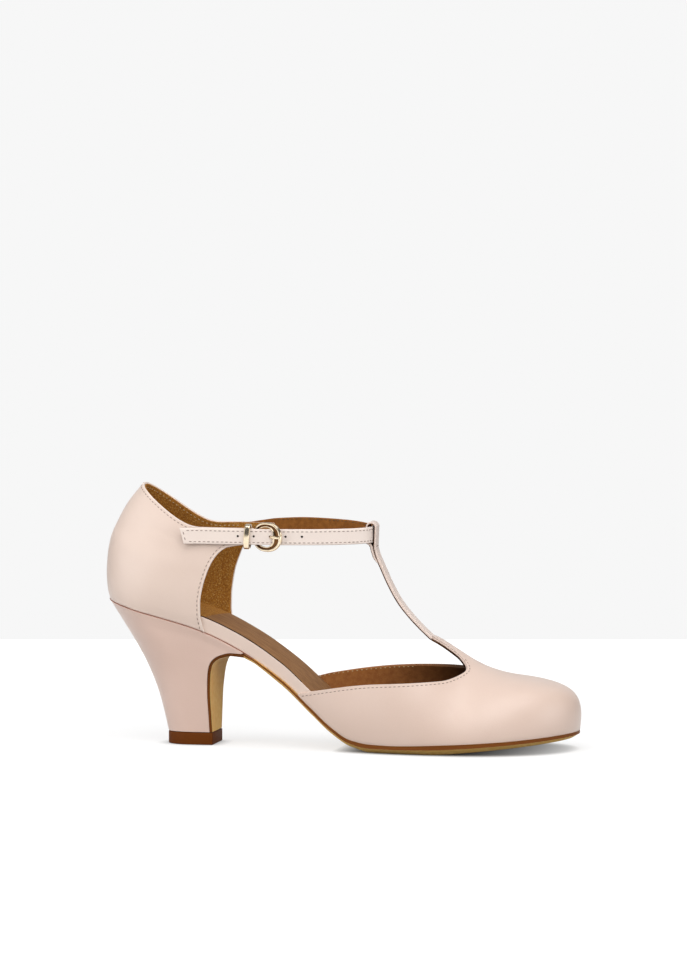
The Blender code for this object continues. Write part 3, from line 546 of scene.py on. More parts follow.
def feather_point(side, x):
    heel = round_end((x - HEEL_BACK) / HEEL_REACH, HEEL_POWER)
    toe = round_end((TOE_TIP - x) / TOE_REACH, TOE_POWER)
    return Vector((x, side * side_width[side](x) * heel * toe + toe_drift(x), feather_height(x)))


def toe_stations(steps):
    angles = spread(0.0, math.pi / 2.0, steps + 1)
    return [TOE_TIP - TOE_REACH * (1.0 - math.sin(angle)) for angle in angles]


def outline_normals(points, side):
    """Outward directions in plan along one side of an outline that runs to the tip of the toe."""
    normals = []
    for i in range(len(points) - 1):
        along = points[i + 1] - points[max(i - 1, 0)]
        normals.append(Vector((-side * along.y, side * along.x, 0.0)).normalized())
    return normals + [Vector((1.0, 0.0, 0.0))]


print("the seat is", SEAT_HEIGHT, "mm above the floor")

# %% [markdown]
# ## Ribs of the vamp
#
# The vamp is one skin of leather from the waist round the toe, with a tab that climbs to the T-bar. It could
# be sculpted, but its outline has to stay on the measures. So Bezier ribs rise from the feather line to the
# ridge, as a shoemaker feels the last with a thumb, and tables say how steep and how full each rib is.

# %% Vamp ribs
RIDGE = {
    "columns": ("station", "height"),
    "rows": ((94.0, 66.0), (120.0, 63.5), (145.0, 59.0), (160.7, 53.1), (170.1, 47.8), (179.1, 42.5),
             (186.5, 39.0), (195.1, 36.5), (205.0, 34.9), (214.0, 33.2)),
}
VAMP_FORM = {
    "columns": ("station", "rise", "lean", "crown"),
    "rows": (
        (94.0, 0.45, 0.25, 0.80),
        (140.0, 0.45, 0.22, 0.80),
        (160.0, 0.42, 0.18, 0.60),
        (176.0, 0.36, 0.16, 0.34),
        (190.0, 0.45, 0.14, 0.48),
        (210.0, 0.58, 0.12, 0.74),
        (229.9, 0.69, 0.15, 0.92),
    ),
}
RIDGE_LEAD = 2.0
RIDGE_END = 205.0
RIDGE_EASE = 3.4
RIDGE_EVEN = 0.15
THROAT = 176.4
ridge_height = Profile(RIDGE, "height")
rib_rise = Profile(VAMP_FORM, "rise")
rib_lean = Profile(VAMP_FORM, "lean")
rib_crown = Profile(VAMP_FORM, "crown")


def ridge_station(x):
    """Where the rib that starts at a station of the feather line meets the ridge."""
    if x <= THROAT:
        return x + RIDGE_LEAD
    turn = math.asin(min(1.0, (x - THROAT) / (TOE_TIP - THROAT))) / (math.pi / 2.0)
    soft = 1.0 - (1.0 - turn) ** RIDGE_EASE
    return mix(THROAT + RIDGE_LEAD, RIDGE_END, mix(soft, turn, RIDGE_EVEN))


def rib_controls(x, foot, outward):
    ridge_x = ridge_station(x)
    top = Vector((ridge_x, toe_drift(ridge_x), ridge_height(ridge_x)))
    low = foot + rib_rise(x) * (top.z - foot.z) * (UP + rib_lean(x) * outward)
    away = rib_crown(x) * (foot - top)
    high = top + Vector((away.x, away.y, ridge_height.slope(ridge_x) * away.x))
    return foot, low, high, top


def rib_point(rib, t):
    foot, low, high, top = rib
    s = 1.0 - t
    return s**3 * foot + 3 * s * s * t * low + 3 * s * t * t * high + t**3 * top


def rib_share(rib, above):
    """Share of the rib at which a rising measure passes zero."""
    low, high = 0.0, 1.0
    for _ in range(40):
        middle = (low + high) / 2.0
        low, high = (low, middle) if above(rib_point(rib, middle)) else (middle, high)
    return high


print("ribs meet the ridge up to", RIDGE_END, "mm")

# %% [markdown]
# ## Opening of the vamp
#
# The opening stops the ribs: at the topline along the sides, round the throat, and along the tab. Cutting the
# hole with a Boolean would leave ragged faces at the edge. Here the ribs themselves end at the edge, so it is
# clean. The points below the opening and those of toe and tab share ribs, so the two sheets weld unseen.

# %% Vamp opening
VAMP_REAR = {LATERAL: 98.0, MEDIAL: 94.4}
VAMP_TOPLINE = {
    "columns": ("station", "lateral", "medial"),
    "rows": ((94.4, 26.2, 29.9), (98.0, 26.9, 31.0), (105.4, 28.3, 32.8), (135.0, 32.8, 36.5),
             (154.4, 33.9, 37.2), (167.6, 34.6, 37.6), (173.6, 35.0, 38.0), (176.4, 35.4, 38.4)),
}
TAB = {
    "columns": ("station", "half"),
    "rows": ((159.2, 3.4), (159.8, 3.9), (160.5, 4.0), (166.0, 4.4), (171.0, 5.2), (176.4, 6.4)),
}
TAB_START = 157.2
OPENING_END = 176.2
TOP_ROUND = 8.5
TAB_ROUND = 6.0
TOE_SPLIT = 0.7
TOE_JOIN = 0.6
THROAT_CROWD = 2.2
WALL_CROWD = 1.5
TAB_CROWD = 1.3
vamp_topline = side_profiles(VAMP_TOPLINE)
wall_shares = [1.0 - (1.0 - share) ** WALL_CROWD for share in spread(0.0, 1.0, 25)]
tab_half = Profile(TAB, "half")


def vamp_stations(side):
    sides = spread(VAMP_REAR[side], TAB_START, 44)
    reach = OPENING_END - TAB_START
    throat = [OPENING_END - reach * (1.0 - share) ** THROAT_CROWD for share in spread(0.0, 1.0, 40)]
    return sides + throat[1:] + [x for x in toe_stations(44) if x > OPENING_END + TOE_JOIN]


def opening(side, x, rib):
    """Shares of a rib at the topline and at the tab's edge; both meet at the front of the throat."""
    low = rib_share(rib, lambda p: p.z > vamp_topline[side](p.x))
    high = rib_share(rib, lambda p: abs(p.y) < tab_half(p.x))
    ahead = OPENING_END - x
    meet = mix(low, high, 0.5)
    low = mix(meet, low, round_end(ahead / TOP_ROUND, 2.0))
    return low, mix(meet, high, round_end(ahead / TAB_ROUND, 2.0))


vamp_lower, vamp_upper, vamp_edge = {}, {}, {}
for side in SIDES:
    stations = vamp_stations(side)
    feet = [feather_point(side, x) for x in stations]
    lower, upper, top_edge, tab_edge = [], [], [], []
    meet = 1.0
    for x, foot, out in zip(stations, feet, outline_normals(feet, side)):
        rib = rib_controls(x, foot, out)
        if x <= OPENING_END:
            meet, tab = opening(side, x, rib)
            top_edge.append(rib_point(rib, meet))
        split = mix(meet, TOE_SPLIT, max(0.0, (x - OPENING_END) / (TOE_TIP - OPENING_END)))
        lower.append([rib_point(rib, split * share) for share in wall_shares])
        if x >= TAB_START:
            start = tab if x < OPENING_END else split
            upper.append([rib_point(rib, mix(start, 1.0, share)) for share in crowd(13, TAB_CROWD)])
            if x <= OPENING_END:
                tab_edge.append(rib_point(rib, start))
    vamp_lower[side], vamp_upper[side] = lower, upper
    vamp_edge[side] = top_edge + tab_edge[-2::-1]
print(len(vamp_lower[LATERAL]), "ribs outside,", len(vamp_lower[MEDIAL]), "inside")

# %% [markdown]
# ## Tools for sheets
#
# A panel of leather is a sheet with a wall. Blender's grid operator makes the faces, and rows of points bend
# the grid, so there is no list of faces to keep. The Solidify modifier adds the wall inward and a Bevel
# softens its rim, so the wall's thickness stays one number.

# %% Sheet tools
WELD_REACH = 0.02
RIM_ANGLE = 50.0


def bend_grid(bm, rows):
    """A grid whose corners move to rows of points; each corner keeps its row and its place in it."""
    tag = bm.verts.layers.int.get("row") or bm.verts.layers.int.new("row")
    mark = bm.verts.layers.int.get("ring") or bm.verts.layers.int.new("ring")
    columns, across = len(rows) - 1, len(rows[0]) - 1
    made = bmesh.ops.create_grid(bm, x_segments=columns, y_segments=across, size=0.5)
    for vert in made["verts"]:
        i = round((vert.co.x + 0.5) * columns)
        j = round((vert.co.y + 0.5) * across)
        vert.co = place(rows[i][j])
        vert[tag] = j
        vert[mark] = i


def weld(bm):
    bmesh.ops.remove_doubles(bm, verts=bm.verts, dist=WELD_REACH * MM)


def face_out(bm, heart):
    """Turns the faces away from a point inside the piece."""
    bmesh.ops.recalc_face_normals(bm, faces=bm.faces)
    middle = place(heart)
    outward = sum(face.normal.dot(face.calc_center_median() - middle) * face.calc_area() for face in bm.faces)
    if outward < 0.0:
        bmesh.ops.reverse_faces(bm, faces=bm.faces)
    bm.normal_update()


def make_piece(name, bm, finishes, replaced=()):
    mesh = bpy.data.meshes.new(name)
    for face in bm.faces:
        face.smooth = True
    bm.to_mesh(mesh)
    bm.free()
    piece = add_object(name, mesh)
    for finish in finishes:
        mesh.materials.append(finish.material)
    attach(piece, "root")
    if replaced:
        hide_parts(*replaced)
    print(name, len(mesh.polygons), "faces")
    return piece


def thicken(piece, thickness, rounding, inner=0, edge=0):
    """Gives a sheet its wall, inward, softens the rim and sets which finish the inside and the rim have."""
    wall = piece.modifiers.new("wall", "SOLIDIFY")
    wall.thickness = thickness * MM
    wall.material_offset = inner
    wall.material_offset_rim = edge
    wall.offset = -1.0
    wall.use_quality_normals = True
    rim = piece.modifiers.new("rim", "BEVEL")
    rim.width = rounding * MM
    rim.segments = 2
    rim.limit_method = "ANGLE"
    rim.angle_limit = math.radians(RIM_ANGLE)


print("rims steeper than", RIM_ANGLE, "degrees are softened")

# %% [markdown]
# ## Creases
#
# Leather that is pulled over a last shows shallow folds. A bump pattern could suggest them, but
# a real dent also bends the sheen of the lamps. So the skin is pressed in along listed lines, and
# each dent fades at its ends.

# %% Creases
CREASE_STEP = 0.5


def along_line(line, pitch):
    """Evenly spaced points on a line of points, with the direction at each."""
    lengths = [0.0]
    for first, second in zip(line, line[1:]):
        lengths.append(lengths[-1] + (second - first).length)
    count = max(1, round(lengths[-1] / pitch))
    k = 0
    for n in range(count):
        target = (n + 0.5) * lengths[-1] / count
        while lengths[k + 1] < target:
            k += 1
        share = (target - lengths[k]) / max(lengths[k + 1] - lengths[k], 1e-6)
        yield line[k].lerp(line[k + 1], share), (line[k + 1] - line[k]).normalized()


def crease(bm, lines, width, depth):
    """Presses shallow folds into a skin along given lines."""
    skin = BVHTree.FromBMesh(bm)
    for line in lines:
        path = along_line([Vector(point) for point in line], CREASE_STEP)
        marks = [skin.find_nearest(place(point))[0] for point, _ in path]
        count = len(marks)
        for vert in bm.verts:
            gap, k = min(((vert.co - mark).length, k) for k, mark in enumerate(marks))
            fade = math.sin(math.pi * (k + 0.5) / count)
            vert.co -= vert.normal * depth * MM * fade * math.exp(-((gap / (width * MM)) ** 2))


print("creases are marked every", CREASE_STEP, "mm")

# %% [markdown]
# ## Vamp
#
# The vamp's leather is 1.3 mm thick, pink outside and brown at its cut rim. A thinner lining lies behind it.
# One thick solid could carry both colours, but two sheets show the step between leather and lining at the
# topline, as on the shoe. Three faint creases lie where the toe box meets the side.

# %% Vamp leather and lining
LEATHER = 1.3
LEATHER_ROUNDING = 0.4
LINING = 0.65
LINING_ROUNDING = 0.2
LINING_GAP = 0.05
VAMP_HEART = (170.0, 0.0, 15.0)
VAMP_CREASES = (
    ((178.0, -28.0, 27.0), (183.0, -30.0, 22.0), (187.0, -31.0, 17.5)),
    ((171.0, -32.0, 25.0), (176.0, -33.5, 18.0)),
    ((192.0, -20.0, 32.0), (197.0, -26.0, 28.0)),
)


def vamp_sheet():
    bm = bmesh.new()
    bend_grid(bm, vamp_lower[LATERAL] + vamp_lower[MEDIAL][-2::-1])
    bend_grid(bm, [one + two[-2::-1] for one, two in zip(vamp_upper[LATERAL], vamp_upper[MEDIAL])])
    weld(bm)
    face_out(bm, VAMP_HEART)
    return bm


def line_behind(name, bm, finish):
    """A lining: a sheet moved in behind its leather. Gives back the surface that faces the leather."""
    for vert in bm.verts:
        vert.co -= vert.normal * (LEATHER + LINING_GAP) * MM
    surface = BVHTree.FromBMesh(bm)
    thicken(make_piece(name, bm, [finish]), LINING, LINING_ROUNDING)
    return surface


bm = vamp_sheet()
crease(bm, VAMP_CREASES, width=1.7, depth=0.24)
vamp_face = BVHTree.FromBMesh(bm)
vamp = make_piece("vamp", bm, [pink, vamp_brown], ["upper"])
thicken(vamp, LEATHER, LEATHER_ROUNDING, inner=1, edge=1)
vamp_inner = line_behind("vamp_lining", vamp_sheet(), vamp_brown)

# %% [markdown]
# ## Bars
#
# Folds, seams, straps and metal are bars: a small section that follows a path. A bevelled curve could make
# them, but a grid keeps its rows, so that a face of a strap can get its own finish. Where the path closes,
# the last ring is welded to the first, and open ends are filled.

# %% Swept bars
def ring_section(half_aside, half_up, count, power=2.0):
    steps = []
    for turn in spread(0.0, 2.0 * math.pi, count + 1)[:-1]:
        c, s = math.cos(turn), math.sin(turn)
        steps.append((half_aside * math.copysign(abs(c) ** (2.0 / power), c),
                      half_up * math.copysign(abs(s) ** (2.0 / power), s)))
    return steps


def sweep(bm, path, ups, section, closed=False):
    """A bar along a path; its section is a list of steps aside and up, or gives one for each point."""
    count = len(path)
    rows = []
    for i in range(count + closed):
        k = i % count
        before = path[k - 1] if closed or k > 0 else path[k]
        after = path[(k + 1) % count] if closed or k < count - 1 else path[k]
        along = (after - before).normalized()
        aside = along.cross(ups[k]).normalized()
        up = aside.cross(along)
        steps = section(k) if callable(section) else section
        ring = [path[k] + a * aside + b * up for a, b in steps]
        rows.append(ring + ring[:1])
    bend_grid(bm, rows)


def seal(bm):
    """Welds a bar along its seam, closes its open ends and turns its faces outward."""
    weld(bm)
    open_edges = [edge for edge in bm.edges if edge.is_boundary]
    if open_edges:
        bmesh.ops.holes_fill(bm, edges=open_edges, sides=0)
    bmesh.ops.recalc_face_normals(bm, faces=bm.faces)


def make_bar(name, path, ups, section, finish, replaced=(), closed=False):
    bm = bmesh.new()
    sweep(bm, path, ups, section, closed)
    seal(bm)
    return make_piece(name, bm, [finish], replaced)


print("a round bar's section has", len(ring_section(1.0, 1.0, 10)), "points")

# %% [markdown]
# ## Folded edges
#
# A leather edge is folded over and sewn down, so it shows as a soft bead. A wider bevel of the sheet would
# round it too, but could not have its own tone. The bead is a thin bar along the edge, sunk into the wall; on
# the quarter its pink is painted lighter, as a painted highlight.

# %% Folded edges
FOLD_SIDES = 10


def soften(line, step, rounds):
    """A line spaced evenly and rounded a little, with its ends kept."""
    even = [line[0]] + [point for point, _ in along_line(line, step)] + [line[-1]]
    for _ in range(rounds):
        even = [even[0]] + [(a + 2.0 * b + c) / 4.0 for a, b, c in zip(even, even[1:], even[2:])] + [even[-1]]
    return even


def beside(line, surface, distance):
    """A line moved along a surface, to the left of its direction as seen from outside."""
    moved = []
    for i, point in enumerate(line):
        along = line[min(i + 1, len(line) - 1)] - line[max(i - 1, 0)]
        _, normal, _, _ = surface.find_nearest(place(point))
        moved.append(point + normal.cross(along).normalized() * distance)
    return moved


def roll(name, line, surface, finish, radius, depth, inset=0.0):
    """A folded edge: a thin bar along a line of a surface, sunk into the wall."""
    path, ups = [], []
    for point in beside(line, surface, inset):
        _, normal, _, _ = surface.find_nearest(place(point))
        path.append(point - normal * depth)
        ups.append(normal)
    return make_bar(name, path, ups, ring_section(radius, radius, FOLD_SIDES), finish)


print("folds have", FOLD_SIDES, "sides")

# %% [markdown]
# ## Stitches
#
# Each stitch is a bead of thread, a little longer than wide. A texture of stitches would be flat and would
# not follow the edges, so each is a tiny stretched sphere of 24 faces, laid on the nearest place of the
# leather and turned along the line.

# %% Stitches
STITCH_PITCH = 2.2
STITCH_LENGTH = 1.45
STITCH_WIDTH = 0.46
STITCH_INSET = 1.35


def sew(bm, line, surface, pitch=STITCH_PITCH, length=STITCH_LENGTH, width=STITCH_WIDTH):
    """Lays stitches along a line, on the nearest place of a surface."""
    for point, along in along_line(line, pitch):
        spot, normal, _, _ = surface.find_nearest(place(point))
        aside = normal.cross(along).normalized()
        turn = Matrix((aside, normal, aside.cross(normal))).transposed().to_4x4()
        size = Matrix.Diagonal((width / 2.0 * MM, width / 2.4 * MM, length / 2.0 * MM, 1.0))
        bmesh.ops.create_uvsphere(bm, u_segments=6, v_segments=4, radius=1.0,
                                  matrix=Matrix.Translation(spot) @ turn @ size)


def press_through(bm, surface):
    """Moves stitches from a lining's outer face to its inner one."""
    for vert in bm.verts:
        _, normal, _, _ = surface.find_nearest(vert.co)
        vert.co -= normal * LINING * MM


print("stitches are", STITCH_LENGTH, "mm long,", STITCH_PITCH, "mm apart")

# %% [markdown]
# ## Edge of the vamp
#
# The topline is folded and sewn from the waist round the throat to the tab. The fold is thicker on the outer
# side, where it is seen from outside, than on the inner one, where mostly the lining shows. A row of pale
# stitches on the lining's inner face and a brown cut edge at its inner rear finish the inside.

# %% Vamp edge and stitches
SEWN_TOP = 44.0
LINING_SEWN_TOP = 38.5
LINING_SEWN_FRONT = 144.0
LINING_SEWN_INSET = 0.45
LINING_EDGE_START = 4

tab_end = vamp_upper[LATERAL][0][1:] + vamp_upper[MEDIAL][0][-2:0:-1]
fold_line = soften(vamp_edge[LATERAL] + tab_end + vamp_edge[MEDIAL][::-1], 0.5, 3)
turn = max(range(len(fold_line)), key=lambda i: (fold_line[i].y > 0.0) * fold_line[i].x)
roll("vamp_fold", fold_line[:turn + 1], vamp_face, pink, radius=0.6, depth=0.6, inset=-0.35)
roll("inner_vamp_fold", fold_line[turn:], vamp_face, pink, radius=0.4, depth=0.5, inset=-0.9)

bm = bmesh.new()
inside = bmesh.new()
for side in SIDES:
    sewn = [point for point in vamp_edge[side] if point.z < SEWN_TOP]
    sew(bm, beside(sewn[1:], vamp_face, side * STITCH_INSET), vamp_face)
    sewn = [point for point in vamp_edge[side] if point.z < LINING_SEWN_TOP and point.x < LINING_SEWN_FRONT]
    sew(inside, beside(sewn[1:], vamp_inner, side * LINING_SEWN_INSET), vamp_inner, length=0.9, width=0.5)
make_piece("vamp_stitches", bm, [dark_thread])
press_through(inside, vamp_inner)
make_piece("vamp_lining_stitches", inside, [pale_thread])

rear_edge = vamp_lower[MEDIAL][0][LINING_EDGE_START:]
roll("vamp_lining_edge", rear_edge, vamp_inner, sock_brown, radius=0.35, depth=LINING)

# %% [markdown]
# ## Outline of the quarter
#
# The quarter wraps the heel from seat to collar, and two side tabs carry the ankle strap. Its outline is
# drawn in the side view, where the photograph shows it best: the back line, the collar that falls to the
# tabs, and the front edge. The inner side is much the same, with a collar that is a little lower.

# %% Quarter outline
COLLAR_HEIGHT = 124.5
TAB_ROOT = 63.0
TAB_ROOT_HEIGHT = 96.6
TAB_END = 76.2
TAB_END_HEIGHT = 98.2
BACK = {
    "columns": ("height", "station"),
    "rows": ((SEAT_HEIGHT, HEEL_BACK), (74.0, 0.6), (82.0, 0.0), (90.0, 0.4), (98.3, 1.8), (107.5, 5.7),
             (115.2, 10.0), (COLLAR_HEIGHT, 17.4)),
}
COLLAR = {
    "columns": ("station", "lateral", "medial"),
    "rows": ((17.4, COLLAR_HEIGHT, COLLAR_HEIGHT), (23.3, 119.8, 119.6), (28.8, 115.8, 115.2),
             (34.7, 111.8, 110.6), (40.5, 108.4, 106.8), (44.9, 106.6, 104.8), (49.9, 105.8, 104.0),
             (TAB_ROOT, 105.7, 103.9)),
}
FRONT_EDGE = {
    "columns": ("height", "lateral", "medial"),
    "rows": ((52.0, 53.6, 57.6), (58.5, 51.2, 55.2), (64.0, 50.4, 54.6), (70.0, 50.5, 54.6),
             (76.0, 51.4, 55.2), (83.4, 53.5, 56.6), (89.7, 56.2, 58.8), (94.6, 60.0, 61.0),
             (TAB_ROOT_HEIGHT, TAB_ROOT, TAB_ROOT)),
}
SWELL = {
    "columns": ("share", "swell"),
    "rows": ((0.0, 0.0), (0.15, 1.7), (0.35, 2.6), (0.55, 2.2), (0.72, 0.6), (0.81, 0.0), (1.0, 0.0)),
}
QUARTER_FOOT = 55.0
COLLAR_REACH = 44.0
SIDE_DROP = {LATERAL: 0.0, MEDIAL: 1.8}
STRAP_BEND = 60.0
STRAP_HALF = 25.0
STRAP_REACH = 69.3
STRAP_POWER = 2.3
ROOT_SHARE = 0.75
back_station = Profile(BACK, "station")
collar_height = side_profiles(COLLAR)
front_station = side_profiles(FRONT_EDGE)
wall_swell = Profile(SWELL, "swell")
print("collar at", COLLAR_HEIGHT, "mm")

# %% [markdown]
# ## Shape of the quarter
#
# A surface could be lofted through sections, but the four edges are what is known. So a patch that is
# spanned by its edges gives each point's station and height. Its width comes from the last and the strap,
# plus a small swell where the heel bone sits.

# %% Quarter shape
def strap_share(x):
    """Half width of the strap's path, as a share of that at its bend."""
    return round_end(1.0 - (x - STRAP_BEND) / STRAP_REACH, STRAP_POWER)


def patch_point(a, b, bottom, top, rear, front):
    """Point of a side-view patch spanned by four edges; a runs forward and b upward."""
    spanned = mix(bottom(a), top(a), b) + mix(rear(b), front(b), a)
    return spanned - mix(mix(bottom(0.0), bottom(1.0), a), mix(top(0.0), top(1.0), a), b)


def quarter_edges(side):
    front_x = front_station[side]
    foot_x = front_x(QUARTER_FOOT)
    root_height = TAB_ROOT_HEIGHT - SIDE_DROP[side]

    def bottom(a):
        x = mix(HEEL_BACK, foot_x, a)
        return np.array((x, feather_height(x)))

    def top(a):
        x = mix(back_station(COLLAR_HEIGHT), TAB_ROOT, a)
        return np.array((x, collar_height[side](x)))

    def rear(b):
        z = mix(SEAT_HEIGHT, COLLAR_HEIGHT, b)
        return np.array((back_station(z), z))

    def front(b):
        if b > ROOT_SHARE:
            return np.array((TAB_ROOT, mix(root_height, top(1.0)[1], (b - ROOT_SHARE) / (1.0 - ROOT_SHARE))))
        share = b / ROOT_SHARE
        z = mix(feather_height(foot_x), root_height, share)
        return np.array((front_x(z + SIDE_DROP[side] * share) if b > 0.0 else foot_x, z))

    return bottom, top, rear, front


def quarter_point(side, edges, a, b):
    x, z = patch_point(a, b, *edges)
    reach = (x - edges[2](b)[0]) / mix(HEEL_REACH, COLLAR_REACH, b)
    half = mix(side_width[side](x), STRAP_HALF, b) + wall_swell(b)
    return Vector((x, side * half * round_end(reach, HEEL_POWER), z))


print("front edge starts at", [round(front_station[side](QUARTER_FOOT), 1) for side in SIDES], "mm")

# %% [markdown]
# ## Quarter
#
# The quarter is cut in one piece, with no seam at the back. Its grid runs from the outer front edge round
# the back to the inner front edge, closer where the heel turns. A small grid for each tab shares the top of
# the front edge. The leather has a few upright creases, and the ochre lining lies behind it.

# %% Quarter leather and lining
QUARTER_COLUMNS = 45
QUARTER_ROWS = 41
TAB_COLUMNS = 13
BACK_CROWD = 1.75
TAB_ROWS = round((1.0 - ROOT_SHARE) * (QUARTER_ROWS - 1))
QUARTER_HEART = (35.0, 0.0, 95.0)
QUARTER_CREASES = (
    ((45.5, -27.0, 91.0), (47.0, -27.0, 84.0), (48.6, -27.0, 77.0)),
    ((42.5, -27.0, 89.0), (44.0, -27.0, 80.0), (45.6, -27.0, 73.0)),
    ((49.0, -27.0, 86.0), (50.0, -27.0, 80.0)),
)

quarter_rows, tab_rows, quarter_edge = {}, {}, {}
for side in SIDES:
    edges = quarter_edges(side)
    heights = spread(0.0, 1.0, QUARTER_ROWS)
    rows = [[quarter_point(side, edges, a, b) for b in heights] for a in crowd(QUARTER_COLUMNS, BACK_CROWD)]
    tab = [rows[-1][-TAB_ROWS - 1:]]
    for x in spread(TAB_ROOT, TAB_END, TAB_COLUMNS)[1:]:
        share = (x - TAB_ROOT) / (TAB_END - TAB_ROOT)
        low = mix(TAB_ROOT_HEIGHT, TAB_END_HEIGHT, math.sin(share * math.pi / 2.0)) - SIDE_DROP[side]
        y = side * STRAP_HALF * strap_share(x)
        tab.append([Vector((x, y, z)) for z in spread(low, rows[-1][-1].z, TAB_ROWS + 1)])
    quarter_rows[side], tab_rows[side] = rows, tab
    front = rows[-1][:-TAB_ROWS - 1] + [line[0] for line in tab]
    top = [line[-1] for line in tab[::-1]] + [line[-1] for line in rows[-2::-1]]
    quarter_edge[side] = (front, tab[-1][1:-1], top)


def quarter_sheet():
    bm = bmesh.new()
    bend_grid(bm, quarter_rows[LATERAL][::-1] + quarter_rows[MEDIAL][1:])
    for side in SIDES:
        bend_grid(bm, tab_rows[side])
    weld(bm)
    face_out(bm, QUARTER_HEART)
    return bm


bm = quarter_sheet()
crease(bm, QUARTER_CREASES, width=1.3, depth=0.22)
quarter_face = BVHTree.FromBMesh(bm)
quarter = make_piece("quarter", bm, [quarter_lit_pink, lining], ["upper"])
thicken(quarter, LEATHER, LEATHER_ROUNDING, inner=1)
quarter_inner = line_behind("quarter_lining", quarter_sheet(), lining)

# %% [markdown]
# ## Edge of the quarter
#
# A fold, painted paler as a highlight, runs round the whole free edge on the outer side and along the
# collar, and another down the inner front edge. The inner tab has none, because the strap's end lies over it.
# Stitches follow the collar and the front edges, and the collar's row shows again on the lining.

# %% Quarter edge and stitches
TAB_SEWN = 3
LINING_INSET = 1.6

front, end, top = quarter_edge[LATERAL]
inner_top = [point for point in quarter_edge[MEDIAL][2][-2::-1] if point.x < TAB_ROOT]
free_edge = front + end + top + inner_top
# the quarter's folds carry the painted highlight
roll("quarter_fold", free_edge, quarter_face, fold_lit_pink, radius=0.5, depth=0.4, inset=0.3)
inner_front = [point for point in quarter_edge[MEDIAL][0] if point.x < TAB_ROOT]
roll("inner_quarter_fold", inner_front, quarter_face, fold_lit_pink, radius=0.5, depth=0.4, inset=-0.3)

bm = bmesh.new()
inside = bmesh.new()
for side in SIDES:
    front, end, top = quarter_edge[side]
    collar = top[TAB_COLUMNS + 1:-1]
    sew(bm, beside(front[:TAB_SEWN - TAB_COLUMNS], quarter_face, -side * STITCH_INSET), quarter_face)
    sew(bm, beside(collar, quarter_face, -side * STITCH_INSET), quarter_face)
    sew(inside, beside(collar, quarter_inner, -side * LINING_INSET), quarter_inner, length=1.0, width=0.5)
make_piece("quarter_stitches", bm, [dark_thread])
press_through(inside, quarter_inner)
make_piece("lining_stitches", inside, [pale_thread])

# %% [markdown]
# ## Waist bands
#
# Between quarter and vamp the sole's edge is covered by a narrow band of the same leather, folded over at
# its top. It could be part of the quarter's grid, but on the shoe it is a strip of its own that runs under
# both neighbours, so their edges stand on it as small steps.

# %% Waist bands
BAND_REAR = {LATERAL: 48.4, MEDIAL: 53.4}
BAND_FRONT = {LATERAL: 105.0, MEDIAL: 99.0}
BAND_HEIGHT = {LATERAL: (6.6, 7.5), MEDIAL: (6.1, 7.0)}
BAND_INSET = 0.7
BAND_LEAN = 0.12
BAND_WALL = 1.1
BAND_ROUNDING = 0.3
BAND_HEART = (78.0, 0.0, 45.0)
INNER_BAND_DROP = 1.5

band_top = {}
for side, word in ((LATERAL, "lateral"), (MEDIAL, "medial")):
    rows = []
    for x in spread(BAND_REAR[side], BAND_FRONT[side], 65):
        foot = feather_point(side, x)
        height = mix(*BAND_HEIGHT[side], (x - BAND_REAR[side]) / (BAND_FRONT[side] - BAND_REAR[side]))
        height = height if side == LATERAL else min(height, insole_thickness(x) - INNER_BAND_DROP)
        rows.append([foot + Vector((0.0, side * (BAND_LEAN * rise - BAND_INSET), rise))
                     for rise in spread(0.0, height, 9)])
    band_top[side] = [row[-1] for row in rows]
    bm = bmesh.new()
    bend_grid(bm, rows)
    face_out(bm, BAND_HEART)
    band_face = BVHTree.FromBMesh(bm)
    band = make_piece("waist_band_" + word, bm, [quarter_lit_pink], ["upper"])
    thicken(band, BAND_WALL, BAND_ROUNDING)
    roll("band_fold_" + word, band_top[side], band_face, quarter_lit_pink, radius=0.36, depth=0.38)

# %% [markdown]
# ## Measures of the outsole
#
# The outsole is one leather piece: forefoot, waist and the thin flap that is glued down the breast of the
# heel. The tread is narrower than the edge above it by a bevel, and a table follows the breast from the base
# of the heel up to the waist.

# %% Outsole measures
EDGE_DEPTH = 0.45
SOLE_STEPS = (3, 4, 4, 12, 4, 4, 3)
SOLE_GAP = 0.1
SOLE_DROP = 0.3
SOLE_HEART = (150.0, 0.0, 2.0)
WAIST_START = 76.0
FLAP_BEVEL = 0.5
FLAP_JOIN = 1.0
FLAP_STEP = 0.01
TREAD = {
    "columns": ("station", "bevel"),
    "rows": ((WAIST_START, 2.6), (112.0, 2.8), (138.0, 4.6), (200.0, 4.6), (229.9, 3.0)),
}
BREAST = {
    "columns": ("share", "station", "height", "half"),
    "rows": (
        (0.0, 51.8, 6.1, 11.3),
        (0.15, 51.7, 14.2, 13.2),
        (0.31, 51.6, 22.6, 15.2),
        (0.51, 52.2, 33.4, 17.8),
        (0.62, 53.6, 39.5, 19.5),
        (0.69, 55.9, 42.4, 20.3),
        (0.77, 59.3, 44.3, 21.0),
        (0.88, 64.5, 45.5, 21.6),
        (1.0, 71.0, 45.2, 22.4),
    ),
}
breast_station = Profile(BREAST, "station")
breast_height = Profile(BREAST, "height")
breast_half = Profile(BREAST, "half")
tread_bevel = Profile(TREAD, "bevel")
print("the flap is", round(2.0 * breast_half(0.0), 1), "mm wide at the base of the heel")

# %% [markdown]
# ## Sections of the outsole
#
# An extruded outline would not follow the arch and could not turn down the breast. So a closed section is
# placed at each station from the toe to the waist, and then down the flap, and one grid spans them all.

